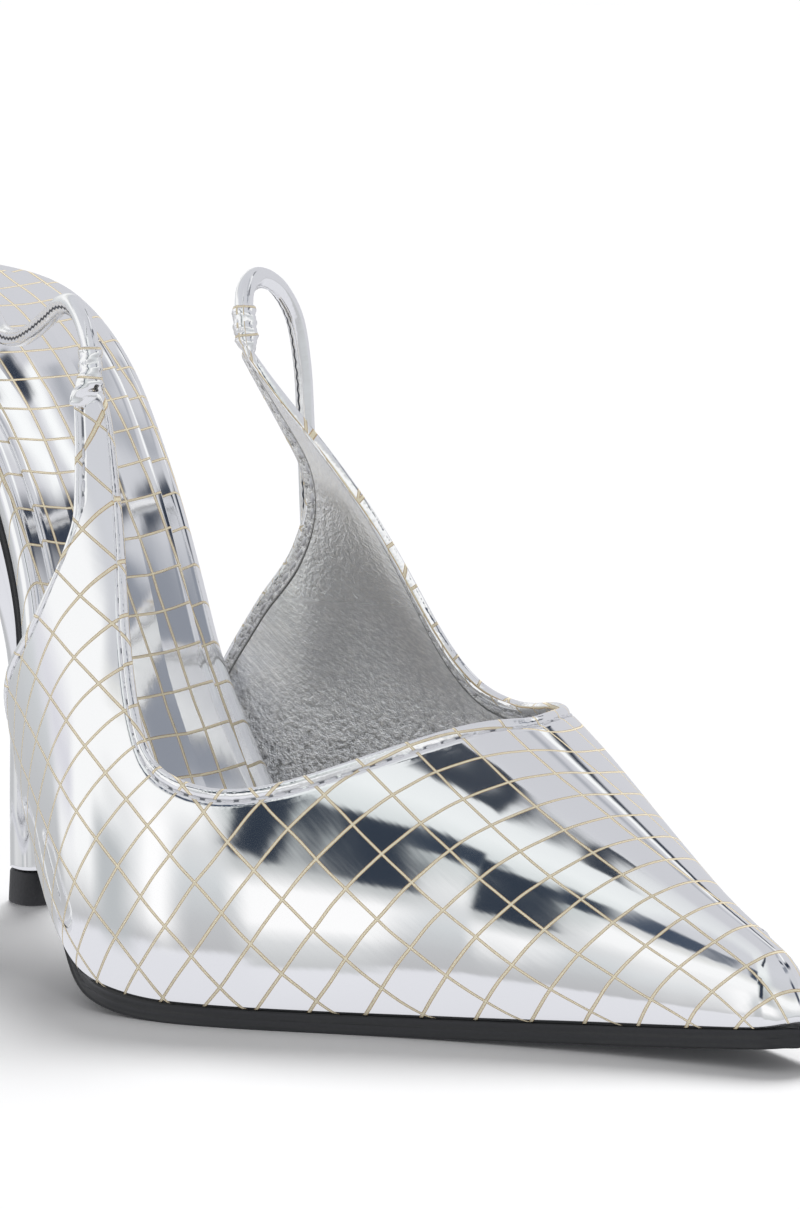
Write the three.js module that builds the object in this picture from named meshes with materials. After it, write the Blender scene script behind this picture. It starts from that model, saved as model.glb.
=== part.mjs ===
import * as THREE from 'three';
import { mergeVertices } from 'three/addons/utils/BufferGeometryUtils.js';

// A lace up stiletto for the right foot: a pointed vamp with two wings, an open back and two laces.
// Millimetres. While it is modelled, X runs from the back of the heel seat along the heel's own axis,
// Y points to the wearer's left (the medial side) and Z points up from the floor.

// Driving dimensions
const lastLength = 221.5;
const ballWidth = 70;
const seatWidth = 43.8;
const heelHeight = 110.5;
const instepHeight = 90;
const toeSwing = 29.4;
const toeSpring = 4;
const upperWall = 1.6;
const quarterSwell = 3;
const soleThickness = 3;
const insoleThickness = 4;
const insoleToeThickness = 2.4;
const seatLength = 48.5;
const pinLength = 8.8;
const pinWidth = 8.8;
const pinPlace = 39.4;
const topPieceHeight = 6.2;
const topPieceFlare = 0.4;
const heelInset = 1.6;
const soleInset = 1.5;
const soleWelt = 0.2;
const soleBevel = 0.5;
const breastGap = 4.5;
const footbedDish = 1.1;
const laceDiameter = 4;
const fitGap = 0.3;

// Radii of the round ends of the last's outline
const seatRadius = 22;
const toeRadius = 4.5;

// Where the wings begin on the feather line, as a share of the length
const wingHeel = 0.366;

// Sections of the last. along: share of lastLength; seat and ball: half width as shares of seatWidth
// and ballWidth; centre: share of toeSwing; lift: underside as a share of heelHeight; spring: share of
// toeSpring; rise: ridge above the underside as a share of instepHeight; crest: place of the ridge
// across, as a share of ballWidth; square: how square the section is, 2 for an ellipse.
const lastRows = [
  { along: 0, seat: 0.482, ball: 0, centre: 0, lift: 1, spring: 0, rise: 1, crest: 0, square: 2.4 },
  { along: 0.12, seat: 0.5, ball: 0, centre: 0, lift: 0.93, spring: 0, rise: 0.92, crest: 0, square: 2.4 },
  { along: 0.216, seat: 0.444, ball: 0, centre: 0.03, lift: 0.796, spring: 0, rise: 0.86, crest: 0, square: 2.4 },
  { along: 0.266, seat: 0.21, ball: 0.134, centre: 0, lift: 0.68, spring: 0, rise: 0.86, crest: 0, square: 2.4 },
  { along: 0.323, seat: 0.08, ball: 0.222, centre: -0.08, lift: 0.502, spring: 0, rise: 0.91, crest: 0, square: 2.4 },
  { along: 0.361, seat: 0, ball: 0.305, centre: -0.2, lift: 0.374, spring: 0, rise: 0.95, crest: 0, square: 2.4 },
  { along: 0.431, seat: 0, ball: 0.36, centre: -0.25, lift: 0.174, spring: 0, rise: 1, crest: 0.03, square: 2.4 },
  { along: 0.483, seat: 0, ball: 0.431, centre: -0.18, lift: 0.072, spring: 0, rise: 0.985, crest: 0.05, square: 2.4 },
  { along: 0.539, seat: 0, ball: 0.505, centre: -0.03, lift: 0.015, spring: 0, rise: 0.9, crest: 0.065, square: 2.35 },
  { along: 0.591, seat: 0, ball: 0.513, centre: 0.14, lift: 0, spring: 0, rise: 0.79, crest: 0.09, square: 2.3 },
  { along: 0.647, seat: 0, ball: 0.472, centre: 0.31, lift: 0, spring: 0, rise: 0.685, crest: 0.14, square: 2.25 },
  { along: 0.7, seat: 0, ball: 0.4, centre: 0.465, lift: 0, spring: 0, rise: 0.6, crest: 0.195, square: 2.25 },
  { along: 0.754, seat: 0, ball: 0.319, centre: 0.595, lift: 0, spring: 0.05, rise: 0.515, crest: 0.243, square: 2.25 },
  { along: 0.813, seat: 0, ball: 0.239, centre: 0.709, lift: 0, spring: 0.175, rise: 0.405, crest: 0.285, square: 2.25 },
  { along: 0.862, seat: 0, ball: 0.174, centre: 0.796, lift: 0, spring: 0.325, rise: 0.312, crest: 0.325, square: 2.25 },
  { along: 0.916, seat: 0, ball: 0.111, centre: 0.874, lift: 0, spring: 0.525, rise: 0.215, crest: 0.362, square: 2.2 },
  { along: 0.957, seat: 0, ball: 0.069, centre: 0.937, lift: 0, spring: 0.725, rise: 0.148, crest: 0.392, square: 2.2 },
  { along: 0.984, seat: 0, ball: 0.044, centre: 0.981, lift: 0, spring: 0.875, rise: 0.102, crest: 0.41, square: 2.2 },
  { along: 1, seat: 0, ball: 0.034, centre: 1, lift: 0, spring: 1, rise: 0.067, crest: 0.42, square: 2.2 },
];

// The upper's strips, from the heel end of the lateral wing round the toe to that of the medial wing.
// side: -1 lateral, 1 medial; foot and footUp: where the strip leaves the feather line, as shares of
// the length and of the way up the section; top and topUp: where it ends on the topline.
const upperRows = [
  { side: -1, foot: 0.366, footUp: 0, top: 0.422, topUp: 0.575 },
  { side: -1, foot: 0.385, footUp: 0, top: 0.43, topUp: 0.64 },
  { side: -1, foot: 0.41, footUp: 0, top: 0.442, topUp: 0.668 },
  { side: -1, foot: 0.445, footUp: 0, top: 0.483, topUp: 0.606 },
  { side: -1, foot: 0.485, footUp: 0, top: 0.516, topUp: 0.545 },
  { side: -1, foot: 0.53, footUp: 0, top: 0.552, topUp: 0.425 },
  { side: -1, foot: 0.573, footUp: 0, top: 0.583, topUp: 0.325 },
  { side: -1, foot: 0.623, footUp: 0, top: 0.621, topUp: 0.333 },
  { side: -1, foot: 0.686, footUp: 0, top: 0.661, topUp: 0.39 },
  { side: -1, foot: 0.76, footUp: 0, top: 0.699, topUp: 0.509 },
  { side: -1, foot: 0.86, footUp: 0, top: 0.73, topUp: 0.67 },
  { side: -1, foot: 0.95, footUp: 0, top: 0.748, topUp: 0.83 },
  { side: -1, foot: 1, footUp: 0, top: 0.756, topUp: 0.94 },
  { side: 1, foot: 1, footUp: 1, top: 0.758, topUp: 1 },
  { side: 1, foot: 1, footUp: 0, top: 0.754, topUp: 0.92 },
  { side: 1, foot: 0.95, footUp: 0, top: 0.745, topUp: 0.82 },
  { side: 1, foot: 0.86, footUp: 0, top: 0.725, topUp: 0.69 },
  { side: 1, foot: 0.76, footUp: 0, top: 0.685, topUp: 0.56 },
  { side: 1, foot: 0.686, footUp: 0, top: 0.645, topUp: 0.46 },
  { side: 1, foot: 0.623, footUp: 0, top: 0.608, topUp: 0.395 },
  { side: 1, foot: 0.573, footUp: 0, top: 0.575, topUp: 0.372 },
  { side: 1, foot: 0.53, footUp: 0, top: 0.549, topUp: 0.415 },
  { side: 1, foot: 0.485, footUp: 0, top: 0.531, topUp: 0.53 },
  { side: 1, foot: 0.445, footUp: 0, top: 0.508, topUp: 0.69 },
  { side: 1, foot: 0.405, footUp: 0, top: 0.455, topUp: 0.785 },
  { side: 1, foot: 0.38, footUp: 0, top: 0.436, topUp: 0.755 },
  { side: 1, foot: 0.352, footUp: 0, top: 0.42, topUp: 0.66 },
];

// The hollow of a wing's back edge: how far forward of a straight line it lies on its way up.
const hollowRows = [
  { up: 0, forward: 0 },
  { up: 0.2, forward: 0.02 },
  { up: 0.5, forward: 0.05 },
  { up: 0.66, forward: 0.056 },
  { up: 0.79, forward: 0.052 },
  { up: 0.89, forward: 0.032 },
  { up: 1, forward: 0 },
];
// Where the outsole has spread from under the seat's board to the upper's outer face, as shares of the
// length, and where the insole has thinned.
const spreadStart = 0.34;
const spreadEnd = 0.43;
const thinEnd = 0.5;

// How far from a wing's back edge the hollow is felt, as a share of the way round the upper.
const hollowReach = 0.2;

// The laces' centre lines. Each leaves the tip of its wing. The lateral one lies across the heel seat,
// hangs over its back edge and runs along the floor; the medial one hangs down beside its wing.
const lacePaths = {
  lateral: [
    [95.6, -20.6, 103.2], [95.2, -20.4, 107.5], [92.6, -19.9, 112.2], [87.5, -18.6, 115.2],
    [80.5, -16.6, 115], [72, -14, 112.2], [62, -11.2, 108.8], [52, -8.4, 106.4], [41, -5.4, 106.6],
    [33, -3.2, 109.9], [25, -1.2, 113.3], [16, 0.6, 116.2], [8, 1.9, 118.8], [2.5, 2.8, 121],
    [-2, 3.4, 121.2], [-5.8, 3.9, 118.6], [-7.4, 4.2, 113], [-7.8, 4.4, 104], [-7.8, 4.6, 85],
    [-7.9, 4.7, 60], [-8.2, 4.8, 38], [-9.2, 4.6, 20], [-12.5, 3.6, 8.5], [-19, 0.6, 3.4],
    [-27, -5, 2.3], [-32.5, -14, 2.3], [-31, -26, 2.3], [-22, -34.5, 2.3], [-5, -38.5, 2.3],
    [20, -39.5, 2.3], [45, -39.5, 2.3], [63, -40.5, 2.3], [77, -46, 2.3], [82, -57, 2.3],
    [76, -68, 2.3], [61, -73, 2.3], [38, -73.5, 2.3], [12, -72.5, 2.3], [-8, -71, 2.3],
    [-17.5, -62.5, 2.3], [-9.5, -54.5, 2.3], [10, -54.5, 2.3], [32, -56, 2.3], [54, -57, 2.3],
  ],
  medial: [
    [95.2, 10.9, 108.2], [94.6, 11.4, 112.4], [92.4, 13.4, 116.4], [89.6, 17.8, 118.2],
    [87.4, 23.4, 116], [86.4, 27.6, 110.4], [86.2, 29.4, 102], [86.2, 30, 90], [86.4, 30.4, 70],
    [86.8, 30.9, 50], [87.4, 31.6, 30], [88.8, 32.9, 15], [92.5, 36, 6.5], [98.5, 41, 3],
    [107, 47, 2.3], [118, 52.5, 2.3], [131, 57, 2.3], [145, 59.5, 2.3], [157, 63, 2.3],
    [161, 71, 2.3], [154.5, 78, 2.3], [140, 79, 2.3], [118, 76.5, 2.3], [90, 72.5, 2.3],
    [60, 69.5, 2.3], [30, 67.5, 2.3], [5, 65, 2.3], [-10, 59, 2.3], [-16, 48, 2.3],
    [-8, 37, 2.3], [10, 34.5, 2.3], [30, 34.5, 2.3], [52, 35, 2.3], [66, 37, 2.3],
    [73.5, 44.5, 2.3], [67, 52, 2.3], [50, 53.5, 2.3], [28, 52.5, 2.3], [10, 51, 2.3],
  ],
};
const laceSides = 8;
const laceSteps = 44;

// The heel from the top piece to the seat. rise: share of the height; back, front and width: share of
// the way from the pin's size to the seat's; square: how square the ring is.
const heelRows = [
  { rise: 0, back: 0, front: 0, width: 0, square: 2.5 },
  { rise: 0.15, back: -0.02, front: 0.12, width: 0.012, square: 2.4 },
  { rise: 0.28, back: -0.05, front: 0.32, width: 0.03, square: 2.3 },
  { rise: 0.43, back: -0.09, front: 0.85, width: 0.105, square: 2.2 },
  { rise: 0.56, back: -0.02, front: 1.1, width: 0.217, square: 2.2 },
  { rise: 0.65, back: 0.11, front: 1.15, width: 0.34, square: 2.2 },
  { rise: 0.74, back: 0.32, front: 1.15, width: 0.5, square: 2.25 },
  { rise: 0.86, back: 0.69, front: 1.12, width: 0.77, square: 2.3 },
  { rise: 0.94, back: 0.9, front: 1.06, width: 0.94, square: 2.35 },
  { rise: 1, back: 1, front: 1, width: 1, square: 2.4 },
];

// A smooth curve through one column of a table, which never swings past the rows' own values.
function columnOf(rows, key, name) {
  const places = rows.map((row) => row[key]);
  const values = rows.map((row) => row[name]);
  const rates = values.slice(1).map((value, i) => (value - values[i]) / (places[i + 1] - places[i]));
  const slopes = values.map((value, i) => {
    if (i === 0 || i === values.length - 1) {
      return rates[Math.min(i, rates.length - 1)];
    }
    const before = places[i] - places[i - 1];
    const after = places[i + 1] - places[i];
    if (rates[i - 1] * rates[i] <= 0) {
      return 0;
    }
    const weight = 2 * after + before;
    const otherWeight = after + 2 * before;
    return (weight + otherWeight) / (weight / rates[i - 1] + otherWeight / rates[i]);
  });
  return (place) => {
    const at = THREE.MathUtils.clamp(place, places[0], places[places.length - 1]);
    const found = places.findIndex((value) => value > at);
    const i = found < 0 ? places.length - 2 : Math.max(found - 1, 0);
    const width = places[i + 1] - places[i];
    const t = (at - places[i]) / width;
    const startShare = (1 + 2 * t) * (1 - t) ** 2;
    const endShare = t * t * (3 - 2 * t);
    const startPull = t * (1 - t) ** 2 * width * slopes[i];
    const endPull = t * t * (t - 1) * width * slopes[i + 1];
    return values[i] * startShare + values[i + 1] * endShare + startPull + endPull;
  };
}

const last = {};
for (const name of ['seat', 'ball', 'centre', 'lift', 'spring', 'rise', 'crest', 'square']) {
  last[name] = columnOf(lastRows, 'along', name);
}

// 1 inside the outline, falling to 0 in a quarter circle over the last stretch before an end.
function roundEnd(distance, radius) {
  const t = THREE.MathUtils.clamp(distance / radius, 0, 1);
  return Math.sqrt(1 - (1 - t) ** 2);
}

// Half width of the last's bottom at x, with its round ends, made wider and longer by extra.
function halfWidth(x, extra) {
  const share = THREE.MathUtils.clamp(x / lastLength, 0, 1);
  const width = last.seat(share) * seatWidth + last.ball(share) * ballWidth + extra;
  return width * roundEnd(x + extra, seatRadius + extra) * roundEnd(lastLength + extra - x, toeRadius + extra);
}

function centreLine(x) {
  return last.centre(x / lastLength) * toeSwing;
}

// Height of the feather line, where upper and insole rest on the outsole.
function featherHeight(x) {
  const share = x / lastLength;
  return soleThickness + fitGap + last.lift(share) * heelHeight + last.spring(share) * toeSpring;
}

// A point at x on the bottom's long profile, moved out along its normal by offset.
function profilePoint(x, offset) {
  const step = 0.5;
  const slope = (featherHeight(x + step) - featherHeight(x - step)) / (2 * step);
  const length = Math.hypot(1, slope);
  return { x: x - (slope / length) * offset, z: featherHeight(x) + offset / length };
}

// A point of the last's surface, or of a wall that stands out from it by out.
// up: 0 on the feather line and 1 on the ridge.
function lastPoint(along, up, side, out) {
  const tipShare = along ** 8;
  const x = along * lastLength + out * tipShare;
  const half = halfWidth(x, out);
  const full = halfWidth(Math.min(x, lastLength - toeRadius), out);
  const closing = x > lastLength / 2 ? roundEnd(lastLength + out - x, toeRadius + out) : 1;
  const middle = centreLine(along * lastLength);
  const crest = middle + (last.crest(along) * ballWidth - middle) * closing;
  const angle = (up * Math.PI) / 2;
  const power = 2 / last.square(along);
  const across = Math.cos(angle) ** power;
  const height = (last.rise(along) * instepHeight + out) * closing;
  const swellPeak = 3.5;
  const swellShape = swellPeak * (1 - up) ** 2 * Math.sqrt(up);
  const fullWidth = 20;
  const swell = quarterSwell * swellShape * Math.min(full / fullWidth, 1) * closing;
  const y = crest + (middle + side * half - crest) * across + side * swell;
  return new THREE.Vector3(x, y, featherHeight(along * lastLength) + height * Math.sin(angle) ** power);
}

// A closed body from points and triangles, with shared points merged and empty triangles dropped.
function closedGeometry(points, faces) {
  const geometry = new THREE.BufferGeometry();
  const numbers = points.flatMap((point) => [point.x, point.y, point.z]);
  geometry.setAttribute('position', new THREE.Float32BufferAttribute(numbers, 3));
  geometry.setIndex(faces.flat());
  const merged = mergeVertices(geometry, 0.0005);
  const index = merged.getIndex().array;
  const kept = [];
  for (let i = 0; i < index.length; i += 3) {
    const [a, b, c] = [index[i], index[i + 1], index[i + 2]];
    if (a !== b && b !== c && c !== a) {
      kept.push(a, b, c);
    }
  }
  merged.setIndex(kept);
  merged.computeVertexNormals();
  return merged;
}

// A body through closed rings of equal size, with a flat cap on each end.
function loft(rings) {
  const size = rings[0].length;
  const points = rings.flat();
  const faces = [];
  for (let i = 0; i < rings.length - 1; i += 1) {
    for (let j = 0; j < size; j += 1) {
      const a = i * size + j;
      const b = i * size + ((j + 1) % size);
      faces.push([a, b, a + size], [b, b + size, a + size]);
    }
  }
  for (const [start, forward] of [[0, false], [(rings.length - 1) * size, true]]) {
    const ring = points.slice(start, start + size);
    const middle = ring.reduce((sum, point) => sum.clone().add(point), new THREE.Vector3()).divideScalar(size);
    points.push(middle);
    for (let j = 0; j < size; j += 1) {
      const a = start + j;
      const b = start + ((j + 1) % size);
      faces.push(forward ? [a, b, points.length - 1] : [b, a, points.length - 1]);
    }
  }
  return closedGeometry(points, faces);
}

// Places along the shoe, closer together where the outline turns at a round end.
function stations(start, end, count, startRadius, endRadius) {
  const places = [];
  const turn = 5;
  for (let i = 0; i < turn; i += 1) {
    const angle = ((i + 0.35) / turn) * (Math.PI / 2);
    places.push(start + startRadius * (1 - Math.cos(angle)));
  }
  const from = start + startRadius;
  const to = end - endRadius;
  for (let i = 0; i <= count; i += 1) {
    places.push(from + ((to - from) * i) / count);
  }
  for (let i = turn - 1; i >= 0; i -= 1) {
    const angle = ((i + 0.35) / turn) * (Math.PI / 2);
    places.push(end - endRadius * (1 - Math.cos(angle)));
  }
  return places;
}

// The upper: one hollow wall, open under the foot, at the throat and behind the wings.
function makeUpper() {
  const count = upperRows.length - 1;
  const numbered = upperRows.map((row, i) => ({ ...row, strip: i / count, across: row.side * (1 - row.topUp) }));
  const feet = numbered.map((row) => ({ ...row, footAcross: row.side * (1 - row.footUp) }));
  const foot = columnOf(feet, 'strip', 'foot');
  const footAcross = columnOf(feet, 'strip', 'footAcross');
  const top = columnOf(feet, 'strip', 'top');
  const topAcross = columnOf(feet, 'strip', 'across');
  const hollow = columnOf(hollowRows, 'up', 'forward');
  const stripCount = 84;
  const climbCount = 11;
  const walls = [upperWall, 0].map((out) => {
    const grid = [];
    for (let i = 0; i <= stripCount; i += 1) {
      const strip = i / stripCount;
      const wingShare = 1 - THREE.MathUtils.smoothstep(Math.min(strip, 1 - strip), 0, hollowReach);
      const line = [];
      for (let j = 0; j <= climbCount; j += 1) {
        const climb = (j / climbCount) ** 1.3;
        const forward = hollow(climb) * wingShare;
        const along = THREE.MathUtils.lerp(foot(strip), top(strip), climb) + forward;
        const across = THREE.MathUtils.lerp(footAcross(strip), topAcross(strip), climb);
        const up = THREE.MathUtils.clamp(1 - Math.abs(across), 0, 1);
        line.push(lastPoint(along, up, Math.sign(across), out));
      }
      grid.push(line);
    }
    return grid;
  });
  const rings = walls[0].map((line, i) => [...line, ...walls[1][i].slice().reverse()]);
  const size = rings[0].length;
  const points = rings.flat();
  const faces = [];
  for (let i = 0; i < rings.length - 1; i += 1) {
    for (let j = 0; j < size; j += 1) {
      const a = i * size + j;
      const b = i * size + ((j + 1) % size);
      faces.push([a, a + size, b], [b, a + size, b + size]);
    }
  }
  for (const [start, forward] of [[0, true], [(rings.length - 1) * size, false]]) {
    for (let j = 0; j < climbCount; j += 1) {
      const outer = start + j;
      const inner = start + size - 1 - j;
      const pair = [[outer, outer + 1, inner], [outer + 1, inner - 1, inner]];
      faces.push(...(forward ? pair : pair.map(([a, b, c]) => [a, c, b])));
    }
  }
  return closedGeometry(points, faces);
}

// The insole: a wrapped board with rounded top edges and a shallow hollow for the foot. It is thinner
// inside the closed front, and stops short of the toe's tip.
function makeInsole() {
  const end = lastLength - 2 * fitGap - insoleToeThickness;
  const rings = stations(0, end, 40, seatRadius, toeRadius).map((x) => {
    const half = halfWidth(x, -fitGap) * roundEnd(end - x, toeRadius);
    const middle = centreLine(x);
    const thinning = THREE.MathUtils.smoothstep(x / lastLength, wingHeel, thinEnd);
    const thickness = THREE.MathUtils.lerp(insoleThickness, insoleToeThickness, thinning);
    const corner = Math.min(thickness * 0.55, half * 0.6);
    const cut = 0.3 * corner;
    const floorHalf = 0.4 * half;
    const floorUp = thickness - (footbedDish * 2 * half) / seatWidth;
    const outline = [
      [-half, 0], [0, 0], [half, 0], [half, thickness - corner],
      [half - cut, thickness - cut], [half - corner, thickness],
      [floorHalf, floorUp], [-floorHalf, floorUp],
      [corner - half, thickness], [cut - half, thickness - cut],
      [-half, thickness - corner],
    ];
    return outline.map(([across, up]) => {
      const place = profilePoint(x, up);
      return new THREE.Vector3(place.x, middle + across, place.z);
    });
  });
  return loft(rings);
}

// The outsole: from just before the heel to the toe, flat on the floor under the ball.
function makeOutsole() {
  const start = seatLength + breastGap;
  const end = lastLength + upperWall;
  const rearLength = 3;
  const rearShare = 0.7;
  const rings = stations(start, end, 36, 2, toeRadius + upperWall).map((x) => {
    const spread = THREE.MathUtils.smoothstep(x / lastLength, spreadStart, spreadEnd);
    const half = halfWidth(x, THREE.MathUtils.lerp(-soleInset, upperWall + soleWelt, spread));
    const rear = THREE.MathUtils.clamp((x - start) / rearLength, rearShare, 1);
    const middle = centreLine(Math.min(x, lastLength));
    const edge = 0.6 * soleThickness;
    const outline = [
      [-half, 0], [half, 0], [half, -edge], [half - soleBevel, -soleThickness],
      [0, -soleThickness], [soleBevel - half, -soleThickness], [-half, -edge],
    ];
    return outline.map(([across, up]) => {
      const place = profilePoint(x, up - fitGap);
      return new THREE.Vector3(place.x, middle + across * rear, place.z);
    });
  });
  return loft(rings.map((ring) => ring.reverse()));
}

// One ring of a heel piece: a rounded rectangle between back and front, width across.
function heelRing(back, front, half, square, heightAt) {
  const ring = [];
  const sides = 24;
  for (let i = 0; i < sides; i += 1) {
    const angle = (i / sides) * 2 * Math.PI;
    const cos = Math.cos(angle);
    const sin = Math.sin(angle);
    const x = (back + front) / 2 + ((front - back) / 2) * Math.sign(cos) * Math.abs(cos) ** (2 / square);
    const y = half * Math.sign(sin) * Math.abs(sin) ** (2 / square);
    ring.push(new THREE.Vector3(x, y, heightAt(x)));
  }
  return ring;
}

// The heel: a slim pin that spreads into a cup under the seat.
function makeHeel() {
  const column = (name) => columnOf(heelRows, 'rise', name);
  const [back, front, width, square] = [column('back'), column('front'), column('width'), column('square')];
  const foot = topPieceHeight + fitGap;
  const seatBack = 1;
  const underSeat = 1.6 * fitGap;
  const rings = [];
  const steps = 22;
  for (let i = 0; i <= steps; i += 1) {
    const rise = i / steps;
    const ringBack = THREE.MathUtils.lerp(pinPlace - pinLength / 2, seatBack, back(rise));
    const ringFront = THREE.MathUtils.lerp(pinPlace + pinLength / 2, seatLength, front(rise));
    const ringHalf = THREE.MathUtils.lerp(pinWidth / 2, seatWidth / 2 - heelInset, width(rise));
    const heightAt = (x) => foot + (profilePoint(x, 0).z - underSeat - foot) * rise;
    rings.push(heelRing(ringBack, ringFront, ringHalf, square(rise), heightAt));
  }
  return loft(rings);
}

function makeTopPiece() {
  const { square } = heelRows[0];
  const rings = [0, 1].map((level) => {
    const flare = topPieceFlare * (1 - level);
    const back = pinPlace - pinLength / 2 - flare;
    const front = pinPlace + pinLength / 2 + flare;
    return heelRing(back, front, pinWidth / 2 + flare, square, () => level * topPieceHeight);
  });
  return loft(rings);
}

// A lace: a round cord along a smooth curve through its points.
function makeLace(points) {
  const path = new THREE.CatmullRomCurve3(points.map((point) => new THREE.Vector3(...point)));
  const section = new THREE.Shape();
  for (let i = 0; i < laceSides; i += 1) {
    const angle = (i / laceSides) * 2 * Math.PI;
    const point = [(laceDiameter / 2) * Math.cos(angle), (laceDiameter / 2) * Math.sin(angle)];
    if (i === 0) {
      section.moveTo(...point);
    } else {
      section.lineTo(...point);
    }
  }
  section.closePath();
  return new THREE.ExtrudeGeometry(section, { steps: laceSteps, extrudePath: path });
}

const finish = {
  mirror: new THREE.MeshStandardMaterial({ color: 0xd9dade, roughness: 0.12, metalness: 0.9 }),
  heel: new THREE.MeshStandardMaterial({ color: 0xe0e0e6, roughness: 0.08, metalness: 1 }),
  sock: new THREE.MeshStandardMaterial({ color: 0xc9cbd2, roughness: 0.15, metalness: 0.9 }),
  black: new THREE.MeshStandardMaterial({ color: 0x17181c, roughness: 0.45, metalness: 0 }),
  lace: new THREE.MeshStandardMaterial({ color: 0xd2d3d9, roughness: 0.2, metalness: 0.9 }),
};

function piece(name, geometry, material) {
  const mesh = new THREE.Mesh(geometry, material);
  mesh.name = name;
  return mesh;
}

const shoe = new THREE.Group();
shoe.add(piece('outsole', makeOutsole(), finish.black));
shoe.add(piece('insole', makeInsole(), finish.sock));
shoe.add(piece('upper', makeUpper(), finish.mirror));
shoe.add(piece('heel', makeHeel(), finish.heel));
shoe.add(piece('heel_top_piece', makeTopPiece(), finish.black));

// The line from the heel's back to the toe's tip becomes +X, and the origin lies on the floor under
// the middle of the shoe without its laces.
shoe.rotation.z = -Math.atan2(toeSwing, lastLength);
const bounds = new THREE.Box3().setFromObject(shoe, true);
const middle = bounds.getCenter(new THREE.Vector3());
shoe.position.set(-middle.x, -middle.y, -bounds.min.z);

shoe.add(piece('lace_lateral', makeLace(lacePaths.lateral), finish.lace));
shoe.add(piece('lace_medial', makeLace(lacePaths.medial), finish.lace));

export default shoe;
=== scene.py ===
# %% [markdown]
# # A lace up heel in mirror leather
# The shoe is a pointed stiletto. Its upper is one piece of silver leather with a fine grid cut into
# the mirror film, pulled over a last. Two wings rise from the vamp, and a lace leaves the tip of each.
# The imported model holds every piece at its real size. This script keeps those sizes, builds each piece
# again with smooth surfaces, and gives it its finish.

# %% Load the frame
import math

import bpy
import numpy as np
from mathutils import Matrix, Vector


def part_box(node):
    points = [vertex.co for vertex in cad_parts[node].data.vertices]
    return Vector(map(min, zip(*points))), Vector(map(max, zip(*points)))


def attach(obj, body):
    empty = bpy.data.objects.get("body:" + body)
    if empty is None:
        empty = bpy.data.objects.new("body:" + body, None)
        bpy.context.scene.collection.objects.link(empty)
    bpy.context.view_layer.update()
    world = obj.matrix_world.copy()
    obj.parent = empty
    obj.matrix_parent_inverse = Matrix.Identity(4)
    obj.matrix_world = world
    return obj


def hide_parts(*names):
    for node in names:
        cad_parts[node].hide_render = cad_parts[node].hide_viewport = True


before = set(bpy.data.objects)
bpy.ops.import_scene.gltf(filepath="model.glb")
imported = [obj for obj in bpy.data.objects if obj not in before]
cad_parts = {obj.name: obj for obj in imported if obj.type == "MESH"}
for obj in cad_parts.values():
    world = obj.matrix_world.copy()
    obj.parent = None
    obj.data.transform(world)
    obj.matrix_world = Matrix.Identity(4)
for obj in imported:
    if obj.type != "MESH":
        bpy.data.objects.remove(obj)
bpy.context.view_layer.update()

# %% [markdown]
# ## The last's sizes
# A shoe is built on a last, so every piece follows the same few sizes. They are in millimetres along
# the heel's own axis: X from the back of the seat, Y to the medial side, Z up from the floor. The short
# tables give each section of the last as shares of these sizes, so that one number changes all of it.

# %% Sizes
MM = 0.001
LAST_LENGTH = 221.5
BALL_WIDTH = 70
SEAT_WIDTH = 43.8
HEEL_HEIGHT = 110.5
INSTEP_HEIGHT = 90
TOE_SWING = 29.4
TOE_SPRING = 4
UPPER_WALL = 1.6
QUARTER_SWELL = 3
SOLE_THICKNESS = 3
INSOLE_THICKNESS = 4
INSOLE_TOE_THICKNESS = 2.4
SEAT_LENGTH = 48.5
PIN_LENGTH = 8.8
PIN_WIDTH = 8.8
PIN_PLACE = 39.4
TOP_PIECE_HEIGHT = 6.2
TOP_PIECE_FLARE = 0.4
HEEL_INSET = 1.6
SOLE_INSET = 1.5
SOLE_WELT = 0.2
BREAST_GAP = 4.5
FOOTBED_DISH = 1.1
FIT_GAP = 0.3
SEAT_RADIUS = 22
TOE_RADIUS = 4.5
WING_HEEL = 0.366
THIN_END = 0.5
SPREAD_START = 0.46
SPREAD_END = 0.56
HOLLOW_REACH = 0.2

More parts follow.
